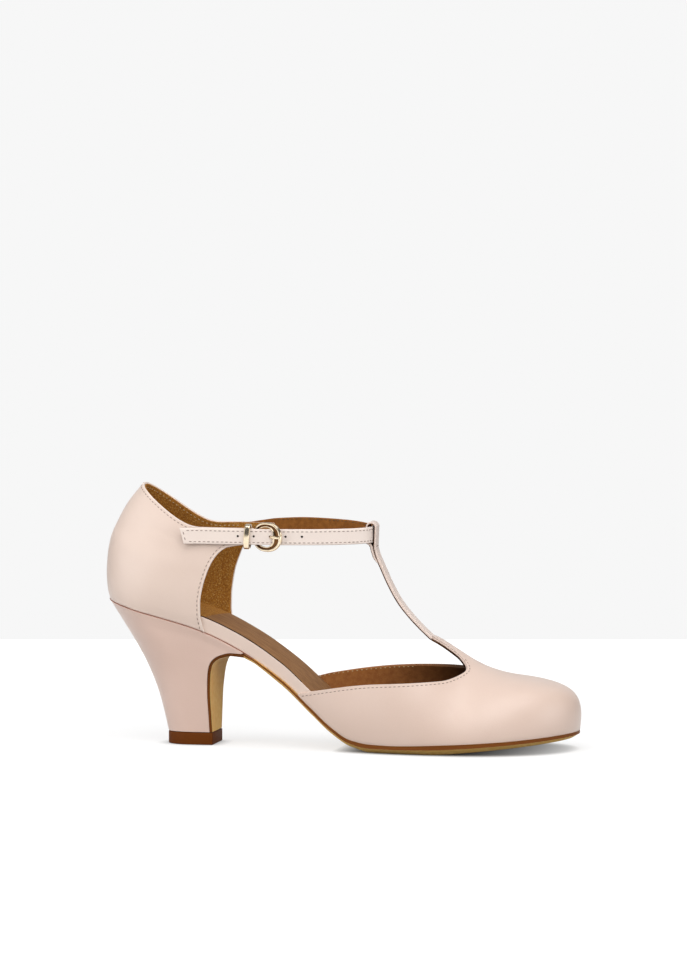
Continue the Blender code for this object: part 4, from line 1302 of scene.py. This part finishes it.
# %% Outsole sections
def side_lines(stations, inset):
    """The two sides of the last's outline, moved inward."""
    lines = []
    for side in SIDES:
        points = [feather_point(side, x) for x in stations]
        normals = outline_normals(points, side)
        if stations[0] == HEEL_BACK:
            normals[0] = Vector((-1.0, 0.0, 0.0))
        lines.append([point - inset(point.x) * out for point, out in zip(points, normals)])
    return lines


def sole_ring(left, right, left_low, right_low, depth):
    """Section of the sole from the middle of its top, round the right edge, tread and left edge."""
    edge = depth * EDGE_DEPTH
    middle = (left + right) / 2.0
    corners = [middle, right, right + edge, right_low, left_low, left + edge, left, middle]
    ring = []
    for (start, end), steps in zip(zip(corners, corners[1:]), SOLE_STEPS):
        ring += [start.lerp(end, share) for share in spread(0.0, 1.0, steps + 1)[:-1]]
    return ring + [middle]


def tread_point(point):
    height = feather_height(point.x) - SOLE_DROP - sole_thickness(point.x)
    return Vector((point.x, point.y, max(0.0, height)))


def breast_point(share):
    return Vector((breast_station(share), 0.0, breast_height(share)))


stations = spread(WAIST_START, TOE_TIP - TOE_REACH, 60)[:-1] + toe_stations(36)
outer, tread = side_lines(stations, lambda x: 0.0), side_lines(stations, tread_bevel)
sole_rows = []
for i in reversed(range(len(stations))):
    left, right_edge = outer[0][i] - UP * SOLE_GAP, outer[1][i] - UP * SOLE_GAP
    left_low, right_low = tread_point(tread[0][i]), tread_point(tread[1][i])
    depth = UP * ((left_low.z + right_low.z) / 2.0 - left.z)
    sole_rows.append(sole_ring(left, right_edge, left_low, right_low, depth))
for share in spread(1.0, 0.0, 44):
    along = breast_point(min(1.0, share + FLAP_STEP)) - breast_point(max(0.0, share - FLAP_STEP))
    out = Vector((along.z, 0.0, -along.x)).normalized()
    base = breast_point(share) + SOLE_GAP * out
    thick = sole_thickness(base.x) * out
    half = Vector((0.0, breast_half(share), 0.0))
    low = Vector((0.0, breast_half(share) - FLAP_BEVEL * sole_thickness(base.x), 0.0))
    sole_rows.append(sole_ring(base - half, base + half, base - low + thick, base + low + thick, thick))
print(len(sole_rows), "sections of the sole")

# %% [markdown]
# ## Finish of the outsole
#
# The stain is a matter of rows: the two rows of upright edge are brown, and the tread between the bevels is
# tan. On the flap everything but the tread is brown, as its thin edge is stained with the heel's. An edge
# angle then keeps the corners of the sole crisp.

# %% Outsole leather
def paint_rows(bm, first, last, number, ring=0):
    """Gives a finish to the faces between two places of the rows, from a ring onward."""
    tag, mark = bm.verts.layers.int["row"], bm.verts.layers.int["ring"]
    for face in bm.faces:
        if all(first <= vert[tag] <= last and vert[mark] >= ring for vert in face.verts):
            face.material_index = number


bm = bmesh.new()
bend_grid(bm, sole_rows)
stops = [sum(SOLE_STEPS[:i]) for i in range(len(SOLE_STEPS))]
paint_rows(bm, stops[1], stops[2], 1)
paint_rows(bm, stops[5], stops[6], 1)
flap_limit = place((breast_station(1.0) + FLAP_JOIN, 0.0, 0.0)).x
tag = bm.verts.layers.int["row"]
for face in bm.faces:
    flap = all(vert.co.x < flap_limit for vert in face.verts)
    if flap and not all(stops[3] <= vert[tag] <= stops[4] for vert in face.verts):
        face.material_index = 1
seal(bm)
face_out(bm, SOLE_HEART)
outsole = make_piece("outsole_leather", bm, [sole_tan, edge_brown], ["outsole"])
outsole.data.set_sharp_from_angle(angle=math.radians(35.0))

# %% [markdown]
# ## Heel
#
# The block heel is covered with leather. Its back sweeps down to a small base, its breast follows the sole's
# flap, and its seat follows the quarter. A tapered cylinder would miss those curves, so the same four-edged
# patch as for the quarter gives its sides, and a flat grid closes the breast.

# %% Heel
HEEL_BASE = 6.1
HEEL_LINE = {
    "columns": ("height", "station"),
    "rows": ((HEEL_BASE, 29.8), (13.3, 28.2), (24.8, 25.2), (36.2, 20.8), (47.6, 15.0), (59.0, 8.1),
             (SEAT_HEIGHT, HEEL_BACK)),
}
HEEL_BASE_REACH = 13.0
HEEL_COLUMNS = 45
HEEL_ROWS = 45
HEEL_HEART = (40.0, 0.0, 35.0)
BASE_CROWD = 0.8
SEAT_FLARE = 3
SEAM_GAP = 0.3
heel_station = Profile(HEEL_LINE, "station")


def heel_edges():
    def bottom(a):
        return np.array((mix(heel_station(HEEL_BASE), breast_station(0.0), a), HEEL_BASE))

    def top(a):
        x = mix(HEEL_BACK, breast_station(1.0), a)
        return np.array((x, feather_height(x) - SEAM_GAP))

    def rear(b):
        z = mix(HEEL_BASE, SEAT_HEIGHT - SEAM_GAP, b)
        return np.array((heel_station(mix(HEEL_BASE, SEAT_HEIGHT, b)), z))

    def front(b):
        lip = top(1.0)[1] - breast_height(1.0)
        return np.array((breast_station(b), breast_height(b) + lip * (b >= 1.0)))

    return bottom, top, rear, front


def heel_point(side, edges, a, b):
    x, z = patch_point(a, b, *edges)
    reach = (x - edges[2](b)[0]) / mix(HEEL_BASE_REACH, HEEL_REACH, b)
    half = breast_half(b) + (side_width[side](x) - breast_half(1.0)) * b**SEAT_FLARE
    return Vector((x, side * half * round_end(reach, HEEL_POWER), z))


edges = heel_edges()
heights = crowd(HEEL_ROWS, BASE_CROWD)
heel_rows = []
for a in crowd(HEEL_COLUMNS, BACK_CROWD):
    lateral = [heel_point(LATERAL, edges, a, b) for b in heights]
    medial = [heel_point(MEDIAL, edges, a, b) for b in heights]
    heel_rows.append(lateral + medial[::-1] + lateral[:1])
bm = bmesh.new()
bend_grid(bm, heel_rows)
bend_grid(bm, [[one.lerp(two, share) for share in spread(0.0, 1.0, 9)] for one, two in zip(lateral, medial)])
weld(bm)
face_out(bm, HEEL_HEART)
heel = make_piece("heel_cover", bm, [heel_lit_pink], ["heel"])
heel.data.set_sharp_from_angle(angle=math.radians(45.0))

# %% [markdown]
# ## Seam of the heel
#
# Where the heel's cover meets the quarter, a thin brown line shows. Left empty, the gap between them would
# be black, so a thin bar fills it, along the quarter's foot and on under the waist bands.

# %% Heel seam
SEAM_HALF = (0.26, 0.16)
SEAM_INSET = 0.05
SEAM_PROUD = 0.1
SEAM_RESTART = 52.0

seam_path = []
for side in SIDES:
    line = [row[0] - Vector((0.0, side * SEAM_INSET, SEAM_GAP / 2.0)) for row in quarter_rows[side]]
    line += [feather_point(side, x) - Vector((0.0, side * (BAND_INSET - SEAM_PROUD), SEAM_GAP / 2.0))
             for x in spread(SEAM_RESTART, WAIST_START, 20)]
    seam_path += line[::-1] if side == LATERAL else line[1:]
seam_section = ring_section(*SEAM_HALF, 8)
make_bar("heel_seam", seam_path, [UP] * len(seam_path), seam_section, seam_brown)

# %% [markdown]
# ## Top piece
#
# The top piece is the brown lift that the heel stands on. It is a plain plate, so it starts as a circle whose
# corners are pulled to the outline. The cap is extruded upward and its rims get a small bevel.

# %% Top piece
TOP_PIECE_HEIGHT = 5.8
TOP_PIECE_BEVEL = 0.35
TOP_PIECE_HEART = (41.0, 0.0, 3.0)
lift_rear = heel_station(HEEL_BASE)
lift_front = breast_station(0.0) + SEAM_GAP + sole_thickness(HEEL_BACK)
lift_half = breast_half(0.0)
outline = []
for turn in spread(0.0, math.pi / 2.0, 15):
    reach = 1.0 - math.cos(turn)
    outline.append((lift_rear + HEEL_BASE_REACH * reach, lift_half * round_end(reach, HEEL_POWER)))
outline.append((lift_front, lift_half))
outline += [(x, -y) for x, y in outline[:0:-1]]

bm = bmesh.new()
circle = bmesh.ops.create_circle(bm, cap_ends=True, segments=len(outline), radius=1.0)
for vert, (x, y) in zip(circle["verts"], outline):
    vert.co = place((x, y, 0.0))
grown = bmesh.ops.extrude_face_region(bm, geom=bm.faces[:])
raised = [item for item in grown["geom"] if isinstance(item, bmesh.types.BMVert)]
bmesh.ops.translate(bm, verts=raised, vec=UP * TOP_PIECE_HEIGHT * MM)
face_out(bm, TOP_PIECE_HEART)
rims = [edge for edge in bm.edges if edge.calc_face_angle(0.0) > math.radians(50.0)]
bmesh.ops.bevel(bm, geom=rims, offset=TOP_PIECE_BEVEL * MM, offset_type="OFFSET", segments=3, profile=0.5,
                affect="EDGES", material=-1, clamp_overlap=True)
lift = make_piece("heel_lift", bm, [lift_brown], ["top_piece"])
lift.data.set_sharp_from_angle(angle=math.radians(40.0))

# %% [markdown]
# ## Sock
#
# The sock is the soft leather that the foot stands on, glued over the insole board. It is a slab that follows
# the last, a little crowned across and rounded at its edges. Its heel part is ochre like the quarter's
# lining, so a plane cuts the grid where the two meet. A thin bar of painted shade lies along the outer band.

# %% Sock
SOCK_INSET = 2.4
SOCK_CROWN = 0.5
SOCK_SHOULDER = 0.04
SOCK_EDGE_DROP = 1.0
SOCK_HEART = (115.0, 0.0, 12.0)
PAD_EDGE = (52.9, 0.0, 60.0)
PAD_WAY = (1.0, -0.11, 0.0)
SHADE_SHIFT = (0.0, 0.55, 0.65)
SHADE_REAR = 50.0
SHADE_FRONT = 100.0
SHADE_HALF = 0.3

heel_part = [HEEL_BACK + HEEL_REACH * (1.0 - math.cos(turn)) for turn in spread(0.0, math.pi / 2.0, 20)]
stations = heel_part + spread(HEEL_BACK + HEEL_REACH, TOE_TIP - TOE_REACH, 70)[1:-1] + toe_stations(30)
sock_rows = []
for points in zip(*side_lines(stations, lambda x: SOCK_INSET)):
    left, right_edge = [Vector((point.x, point.y, feather_height(point.x))) for point in points]
    rise = insole_thickness(left.x)
    ring = [left.lerp(right_edge, 0.5), right_edge]
    for share in spread(1.0, 0.0, 25):
        shoulder = round_end(min(share, 1.0 - share) / SOCK_SHOULDER, 2.0)
        height = mix(rise - SOCK_EDGE_DROP, rise, shoulder) + SOCK_CROWN * math.sin(math.pi * share)
        ring.append(left.lerp(right_edge, share) + UP * height)
    sock_rows.append(ring + [left, ring[0]])
bm = bmesh.new()
bend_grid(bm, sock_rows)
weld(bm)
face_out(bm, SOCK_HEART)
pad_edge, pad_way = place(PAD_EDGE), Vector(PAD_WAY)
bmesh.ops.bisect_plane(bm, geom=bm.verts[:] + bm.edges[:] + bm.faces[:], plane_co=pad_edge, plane_no=pad_way)
for face in bm.faces:
    face.material_index = int((face.calc_center_median() - pad_edge).dot(pad_way) < 0.0)
make_piece("sock", bm, [sock_brown, lining], ["insole"])

# painted shade: a dark bar where the sock meets the outer band
shade = [point + Vector(SHADE_SHIFT) for point in band_top[LATERAL] if SHADE_REAR < point.x < SHADE_FRONT]
shade_section = ring_section(SHADE_HALF, SHADE_HALF, 8)
make_bar("band_shade_line", shade, [UP] * len(shade), shade_section, painted_shade_dark)

# %% [markdown]
# ## Path of the ankle strap
#
# The strap is a flat band that runs from its loose tip, round the front of the ankle, to its sewn end on the
# inner side. Its plan is two straight legs and a squared half oval between them. A drawn curve could hold the
# plan, but the buckle and the loop have to find the strap's face at any station, so it stays a formula.

# %% Ankle strap path
STRAP_LOW = 98.05
STRAP_HIGH = 105.65
STRAP_THICK = 1.7
STRAP_TIP_HIGH = 40.9
STRAP_SEWN_END = 54.0
INNER_LEG = {
    "columns": ("station", "rise"),
    "rows": ((STRAP_SEWN_END, -1.8), (62.0, -1.8), (69.0, -0.8), (77.0, 0.4), (94.0, 1.3), (112.5, 1.0),
             (129.3, 0.0)),
}
inner_leg_rise = Profile(INNER_LEG, "rise")
strap_middle = (STRAP_LOW + STRAP_HIGH) / 2.0
strap_half_height = (STRAP_HIGH - STRAP_LOW) / 2.0


def strap_outer(x):
    return STRAP_HALF * strap_share(x) + SEAM_GAP + STRAP_THICK


def strap_plan():
    """Plan of the strap's middle from its free tip round the front to its sewn end."""
    half = STRAP_HALF + SEAM_GAP + STRAP_THICK / 2.0
    path = [(x, -half) for x in spread(STRAP_TIP_HIGH, STRAP_BEND, 16)[:-1]]
    for turn in spread(0.0, math.pi, 141):
        ahead = math.sin(turn) ** (2.0 / STRAP_POWER)
        across = math.copysign(abs(math.cos(turn)) ** (2.0 / STRAP_POWER), -math.cos(turn))
        path.append((STRAP_BEND + STRAP_REACH * ahead, half * across))
    return path + [(x, half) for x in spread(STRAP_BEND, STRAP_SEWN_END, 6)[1:]]


plan = strap_plan()
print("the strap's plan has", len(plan), "places")

# %% [markdown]
# ## Ankle strap
#
# A section with round corners follows the plan. It is worked out point by point and not swept, because the
# tip lifts off the quarter and ends on a slant, and the inner leg sags and rises a little. The inner face
# and its round corners are brown.

# %% Ankle strap
STRAP_CORNER = 0.42
STRAP_STEPS = 5
STRAP_TIP_LOW = 43.1
STRAP_TIP_REACH = 16.0
STRAP_LIFT = 1.4
CORNER_STEPS = 3


def bar_section(half_thick, half_high, corner, steps):
    """A flat bar's section, from the middle of its outer face round by the top, in thickness and height."""
    thick, high = half_thick - corner, half_high - corner

    def arc(x, y, start):
        turns = spread(start, start + math.pi / 2.0, CORNER_STEPS + 2)[1:-1]
        return [(x + corner * math.cos(turn), y + corner * math.sin(turn)) for turn in turns]

    ring = [(half_thick, h) for h in spread(0.0, high, steps)] + arc(thick, high, 0.0)
    ring += [(thick, half_high), (-thick, half_high)] + arc(-thick, high, math.pi / 2.0)
    ring += [(-half_thick, h) for h in spread(high, -high, 2 * steps - 1)] + arc(-thick, -high, math.pi)
    ring += [(-thick, -half_high), (thick, -half_high)] + arc(thick, -high, 1.5 * math.pi)
    return ring + [(half_thick, h) for h in spread(-high, 0.0, steps)]


def strap_point(i, depth, height):
    """Point of the strap's section at one place of its plan."""
    x, y = plan[i]
    before, after = plan[max(i - 1, 0)], plan[min(i + 1, len(plan) - 1)]
    out = Vector((after[1] - before[1], before[0] - after[0], 0.0)).normalized()
    near_tip = max(0.0, 1.0 - (x - STRAP_TIP_HIGH) / STRAP_TIP_REACH) if y < 0.0 else 0.0
    rise = inner_leg_rise(x) if y > 0.0 else 0.0
    slant = near_tip * (STRAP_TIP_LOW - STRAP_TIP_HIGH) * (0.5 - height / (2.0 * strap_half_height))
    middle = Vector((x + slant, y, strap_middle + rise + height))
    return middle + out * (depth + STRAP_LIFT * near_tip**2)


strap_ring = bar_section(STRAP_THICK / 2.0, strap_half_height, STRAP_CORNER, STRAP_STEPS)
bm = bmesh.new()
bend_grid(bm, [[strap_point(i, *step) for step in strap_ring] for i in range(len(plan))])
seal(bm)
strap_face = BVHTree.FromBMesh(bm)
inner_row = STRAP_STEPS + CORNER_STEPS + 1
paint_rows(bm, inner_row, len(strap_ring) - 1 - inner_row, 1)
strap_finishes = [strap_lit_pink, strap_brown, painted_shade_dark]
strap = make_piece("ankle_strap_leather", bm, strap_finishes, ["ankle_strap"])

# %% [markdown]
# ## Holes of the strap
#
# The prong holes are punched in a row. Dark discs laid on the strap would look flat, so short cylinders are
# cut out with a Boolean, whose exact solver carries the cutter's finish onto the walls. That finish is
# painted shade. The cuts stop inside the strap, which is as far as the eye looks in, so their floors are
# painted shade as well. The result is made the strap's own mesh, so that no cutter is left in the scene.

# %% Strap holes
HOLE_STATIONS = (69.1, 76.8, 84.6, 92.0, 99.7)
HOLE_RADIUS = 0.56
HOLE_DEPTH = 2.6
HOLE_RISE = 0.3

bm = bmesh.new()
for x in HOLE_STATIONS:
    spot = Matrix.Translation(place((x, -strap_outer(x), strap_middle + HOLE_RISE)))
    bmesh.ops.create_cone(bm, cap_ends=True, segments=20, radius1=HOLE_RADIUS * MM, radius2=HOLE_RADIUS * MM,
                          depth=HOLE_DEPTH * MM, matrix=spot @ Matrix.Rotation(math.pi / 2.0, 4, "X"))
# painted shade on the walls and floors of the holes
for face in bm.faces:
    face.material_index = strap_finishes.index(painted_shade_dark)
punch = add_object("punch", bpy.data.meshes.new("punch"))
bm.to_mesh(punch.data)
bm.free()
for finish in strap_finishes:
    punch.data.materials.append(finish.material)
holes = strap.modifiers.new("holes", "BOOLEAN")
holes.object = punch
holes.operation = "DIFFERENCE"
holes.solver = "EXACT"
bpy.context.view_layer.update()
punched = bpy.data.meshes.new_from_object(strap.evaluated_get(bpy.context.evaluated_depsgraph_get()))
strap.modifiers.clear()
strap.data = punched
bpy.data.objects.remove(punch)
strap.data.set_sharp_from_angle(angle=math.radians(50.0))
print("strap with", len(HOLE_STATIONS), "holes,", len(strap.data.polygons), "faces")

# %% [markdown]
# ## Stitches of the strap
#
# Two rows run along the strap's edges and turn across both ends, as a machine sews round a strap without
# stopping. On the brown inner face only the top row shows past the quarter, in a darker thread.

# %% Ankle strap stitches
STRAP_SEWN_INSET = 1.15
INNER_SEWN_INSET = 0.8

places = range(len(plan))
edge_height = strap_half_height - STRAP_SEWN_INSET
low_row = [strap_point(i, STRAP_THICK / 2.0, -edge_height) for i in places]
high_row = [strap_point(i, STRAP_THICK / 2.0, edge_height) for i in places]
bm = bmesh.new()
for row in (low_row[2:-2], high_row[2:-2], [low_row[1], high_row[1]], [low_row[-2], high_row[-2]]):
    sew(bm, row, strap_face)
make_piece("strap_stitches", bm, [dark_thread])
inner_height = strap_half_height - INNER_SEWN_INSET
inner_places = [i for i in places if plan[i][1] > 0.0 and plan[i][0] > TAB_END]
bm = bmesh.new()
sew(bm, [strap_point(i, -STRAP_THICK / 2.0, inner_height) for i in inner_places], strap_face)
make_piece("strap_lining_stitches", bm, [brown_thread])

# %% [markdown]
# ## T-bar
#
# A narrow strap climbs from the vamp's tab, folds over the ankle strap and ends in a short tail behind
# itself. It is one ribbon, pink outside and brown inside, swept along a path in the shoe's middle plane, so
# the fold is a real loop that the ankle strap passes through. Its tail thins to lie close to the front ply.

# %% T-bar
T_FRONT = {
    "columns": ("height", "station"),
    "rows": ((52.75, 159.7), (58.4, 153.6), (64.2, 148.1), (70.0, 143.5), (78.6, 138.6), (86.5, 135.0),
             (93.0, 132.2), (96.0, 131.45), (98.0, 131.5), (105.4, 131.8)),
}
T_PLY = {
    "columns": ("height", "ply"),
    "rows": ((52.75, 1.8), (88.0, 1.8), (96.0, 1.25), (105.4, 1.25)),
}
T_TAIL = {
    "columns": ("height", "depth", "half"),
    "rows": ((89.0, 1.55, 0.3), (92.0, 2.15, 0.6), (95.5, 2.1, 0.7), (97.2, 3.1, 0.7)),
}
T_WIDTH = 7.4
T_CORNER = 0.75
T_STEPS = 4
T_SEWN_HEIGHT = 96.2
T_SEWN_HALF = 2.6
FOLD_ROOM = 1.95
FOLD_LEG_DROP = 0.2
t_front_station = Profile(T_FRONT, "station")
t_ply = Profile(T_PLY, "ply")
tail_depth = Profile(T_TAIL, "depth")
tail_half = Profile(T_TAIL, "half")


def t_face(z, depth):
    """Point of the T-bar at a height, a depth behind its front face."""
    along = Vector((t_front_station.slope(z), 0.0, 1.0)).normalized()
    return Vector((t_front_station(z), 0.0, z)) + depth * Vector((-along.z, 0.0, along.x))


foot_height, fold_height = t_front_station.at[0], t_front_station.at[-1]
fold_front = t_front_station(fold_height)
fold_rear = STRAP_BEND + STRAP_REACH - STRAP_THICK / 2.0 - FOLD_ROOM
fold_middle = Vector(((fold_front + fold_rear) / 2.0, 0.0, fold_height))
fold_half = t_ply(fold_height) / 2.0
fold_radius = (fold_front - fold_rear) / 2.0 - fold_half
climb = spread(foot_height, fold_height, 60)
t_path = [t_face(z, t_ply(z) / 2.0) for z in climb]
for turn in spread(0.0, math.pi, 15)[1:]:
    t_path.append(fold_middle + fold_radius * Vector((math.cos(turn), 0.0, math.sin(turn))))
leg = spread(fold_height, STRAP_LOW - FOLD_LEG_DROP, 8)[1:]
t_path += [Vector((fold_rear + fold_half, 0.0, z)) for z in leg]
tail_start = len(t_path)
tail_heights = spread(tail_depth.at[-1], tail_depth.at[0], 14)
t_path += [t_face(z, tail_depth(z)) for z in tail_heights]
t_half = [t_ply(z) / 2.0 for z in climb] + [fold_half] * (tail_start - len(climb))
t_half += [tail_half(z) for z in tail_heights]
print("T-bar,", round(sum((b - a).length for a, b in zip(t_path, t_path[1:])), 1), "mm long with its tail")

# %% [markdown]
# ## Leather of the T-bar
#
# Two sheets glued together could make the two colours, but rows of one ribbon do: its inner face and the
# corners beside it are brown, and the rest is pink. On the tail the corners of the pink face are brown
# instead, which outlines its edge. A short row of stitches holds the fold.

# %% T-bar leather
def t_section(k):
    return bar_section(t_half[k], T_WIDTH / 2.0, T_CORNER * t_half[k], T_STEPS)


bm = bmesh.new()
sweep(bm, t_path, [Vector((0.0, -1.0, 0.0))] * len(t_path), t_section)
seal(bm)
t_surface = BVHTree.FromBMesh(bm)
last_row = len(t_section(0)) - 1
side_row = T_STEPS + CORNER_STEPS + 1
face_row = T_STEPS + 2 * CORNER_STEPS + 2
paint_rows(bm, side_row, last_row - side_row, 1)
paint_rows(bm, 0, last_row, 0, tail_start)
paint_rows(bm, face_row, last_row - face_row, 1, tail_start)
for first in (T_STEPS, last_row - T_STEPS - CORNER_STEPS + 1):
    paint_rows(bm, first, first + CORNER_STEPS - 1, 1, tail_start)
make_piece("t_bar", bm, [t_bar_lit_pink, t_brown], ["t_strap"])

bm = bmesh.new()
sewn = [t_face(T_SEWN_HEIGHT, 0.0) + Vector((0.0, y, 0.0)) for y in spread(-T_SEWN_HALF, T_SEWN_HALF, 5)]
sew(bm, sewn, t_surface, pitch=1.3, length=1.0)
make_piece("t_bar_stitches", bm, [dark_thread])

# %% [markdown]
# ## Buckle frame
#
# The buckle is a plated ring. Its bar hides behind the strap and its round end stands in front of it, so the
# ring is tilted. A torus would have a round section. This ring is domed toward its outer rim and falls to a
# thin inner lip, and it is broadest at its round end, which gives the bright line. The dark band on its inner
# slope is painted shade: those rows get a dark metal.

# %% Buckle frame
FRAME_BAR = 76.8
FRAME_WIRE = 0.9
FRAME_HALF_HEIGHT = 6.1
FRAME_HALF_LENGTH = 6.7
FRAME_TILT = math.radians(16.0)
ROUND_POWER = 2.2
BAR_POWER = 2.4
FRAME_SECTION = (
    (1.0, -0.4), (1.0, 0.2), (0.85, 0.6), (0.5, 0.85), (0.15, 0.85), (-0.1, 0.6), (-0.45, 0.05),
    (-0.85, -0.15), (-1.1, 0.0), (-1.3, 0.25), (-1.55, 0.3), (-1.75, 0.1), (-1.75, -0.3), (-1.4, -0.6),
    (-0.4, -0.75), (0.5, -0.75), (0.85, -0.65),
)
RECESS_SHADE_ROWS = (5, 8)
LIP = 1.1
LIP_REACH = (-0.35, 1.5)

bar_y = -(strap_outer(FRAME_BAR) - STRAP_THICK - SEAM_GAP - FRAME_WIRE)
bar_point = Vector((FRAME_BAR, bar_y, strap_middle))
tilt = Matrix.Rotation(-FRAME_TILT, 3, "Z")
frame_path = []
for turn in spread(0.0, 2.0 * math.pi, 73)[:-1]:
    c, s = math.cos(turn), math.sin(turn)
    power = ROUND_POWER if c > 0.0 else BAR_POWER
    u = math.copysign(abs(c) ** (2.0 / power), c)
    v = math.copysign(abs(s) ** (2.0 / power), s)
    frame_path.append(bar_point + tilt @ Vector((FRAME_HALF_LENGTH * (1.0 + u), 0.0, FRAME_HALF_HEIGHT * v)))
frame_ups = [tilt @ Vector((0.0, -1.0, 0.0))] * len(frame_path)


def frame_section(k):
    """The ring is broader at its round end than beside the strap, and lies flat there."""
    end = max(0.0, math.cos(2.0 * math.pi * k / len(frame_path)))
    reach, flat = mix(*LIP_REACH, end), end * math.tan(FRAME_TILT)
    row = [(a + reach * max(-1.0, a / LIP) if a < 0.0 else a, b) for a, b in FRAME_SECTION]
    return [(a, b - min(a, 0.0) * flat) for a, b in row]


def subdivide(piece, levels):
    smooth = piece.modifiers.new("smooth", "SUBSURF")
    smooth.levels = levels
    smooth.render_levels = levels


bm = bmesh.new()
sweep(bm, frame_path, frame_ups, frame_section, closed=True)
seal(bm)
# painted shade on the ring's recess rows
paint_rows(bm, *RECESS_SHADE_ROWS, 1)
subdivide(make_piece("buckle_ring", bm, [gold, recess_shade_metal], ["buckle_frame"]), 1)

# %% [markdown]
# ## Prong
#
# The prong starts at the bar behind the strap, comes out through a hole and rests on the ring's round end. It
# is a wire that thins toward its tip, swept through a few points and smoothed by subdivision.

# %% Prong
PRONG_HOLE = 84.6
PRONG_WIRE = 0.65
PRONG_FLATNESS = 1.25
behind = -(strap_outer(PRONG_HOLE) - STRAP_THICK - SEAM_GAP - PRONG_WIRE)
ahead = -(strap_outer(PRONG_HOLE) + SEAM_GAP + PRONG_WIRE)
far = bar_point + tilt @ Vector((2.0 * FRAME_HALF_LENGTH, 0.0, 0.0))
PRONG = {
    "columns": ("station", "across", "half"),
    "rows": (
        (FRAME_BAR + 1.9, behind + 0.3, 0.7),
        (PRONG_HOLE - 1.6, behind + 0.15, 0.7),
        (PRONG_HOLE - 0.5, behind - 0.65, 0.68),
        (PRONG_HOLE + 0.5, ahead + 0.5, 0.66),
        (PRONG_HOLE + 1.6, ahead - 0.5, 0.64),
        (far.x - 1.0, far.y - 1.3, 0.6),
        (far.x + 0.3, far.y - 1.55, 0.5),
    ),
}
prong_path = [Vector((x, y, strap_middle)) for x, y, _ in PRONG["rows"]]
prong_rings = [ring_section(half, half * PRONG_FLATNESS, 12) for _, _, half in PRONG["rows"]]
prong = make_bar("prong", prong_path, [UP] * len(prong_path), lambda k: prong_rings[k], gold,
                 ["buckle_prong"])
subdivide(prong, 2)

# %% [markdown]
# ## Keeper
#
# The keeper is a flat metal loop that holds the strap's free end to the quarter's tab. A bar with round
# corners is swept round a squared oval, and it leans a little, as a loose loop does.

# %% Keeper
KEEPER_STATION = 73.5
KEEPER_WIDTH = 2.8
KEEPER_THICK = 1.1
KEEPER_CORNER = 0.5
KEEPER_HALF_HEIGHT = 6.1
KEEPER_POWER = 2.5
KEEPER_LEAN = 0.06
KEEPER_ROOM = 0.25
TAB_WALL = 2.0
keeper_outer = strap_outer(KEEPER_STATION) + SEAM_GAP
keeper_inner = keeper_outer - STRAP_THICK - TAB_WALL - 3.0 * SEAM_GAP
keeper_middle = Vector((KEEPER_STATION, -(keeper_outer + keeper_inner) / 2.0, strap_middle))
loop_half = (keeper_outer - keeper_inner) / 2.0 + KEEPER_THICK / 2.0 + KEEPER_ROOM
oval = ring_section(loop_half, KEEPER_HALF_HEIGHT - KEEPER_THICK / 2.0, 48, KEEPER_POWER)
loop = [keeper_middle + Vector((KEEPER_LEAN * z, y, z)) for y, z in oval]
keeper_section = bar_section(KEEPER_THICK / 2.0, KEEPER_WIDTH / 2.0, KEEPER_CORNER, 4)
make_bar("keeper_loop", loop, [Vector((1.0, 0.0, 0.0))] * len(loop), keeper_section, gold,
         ["strap_keeper"], closed=True)
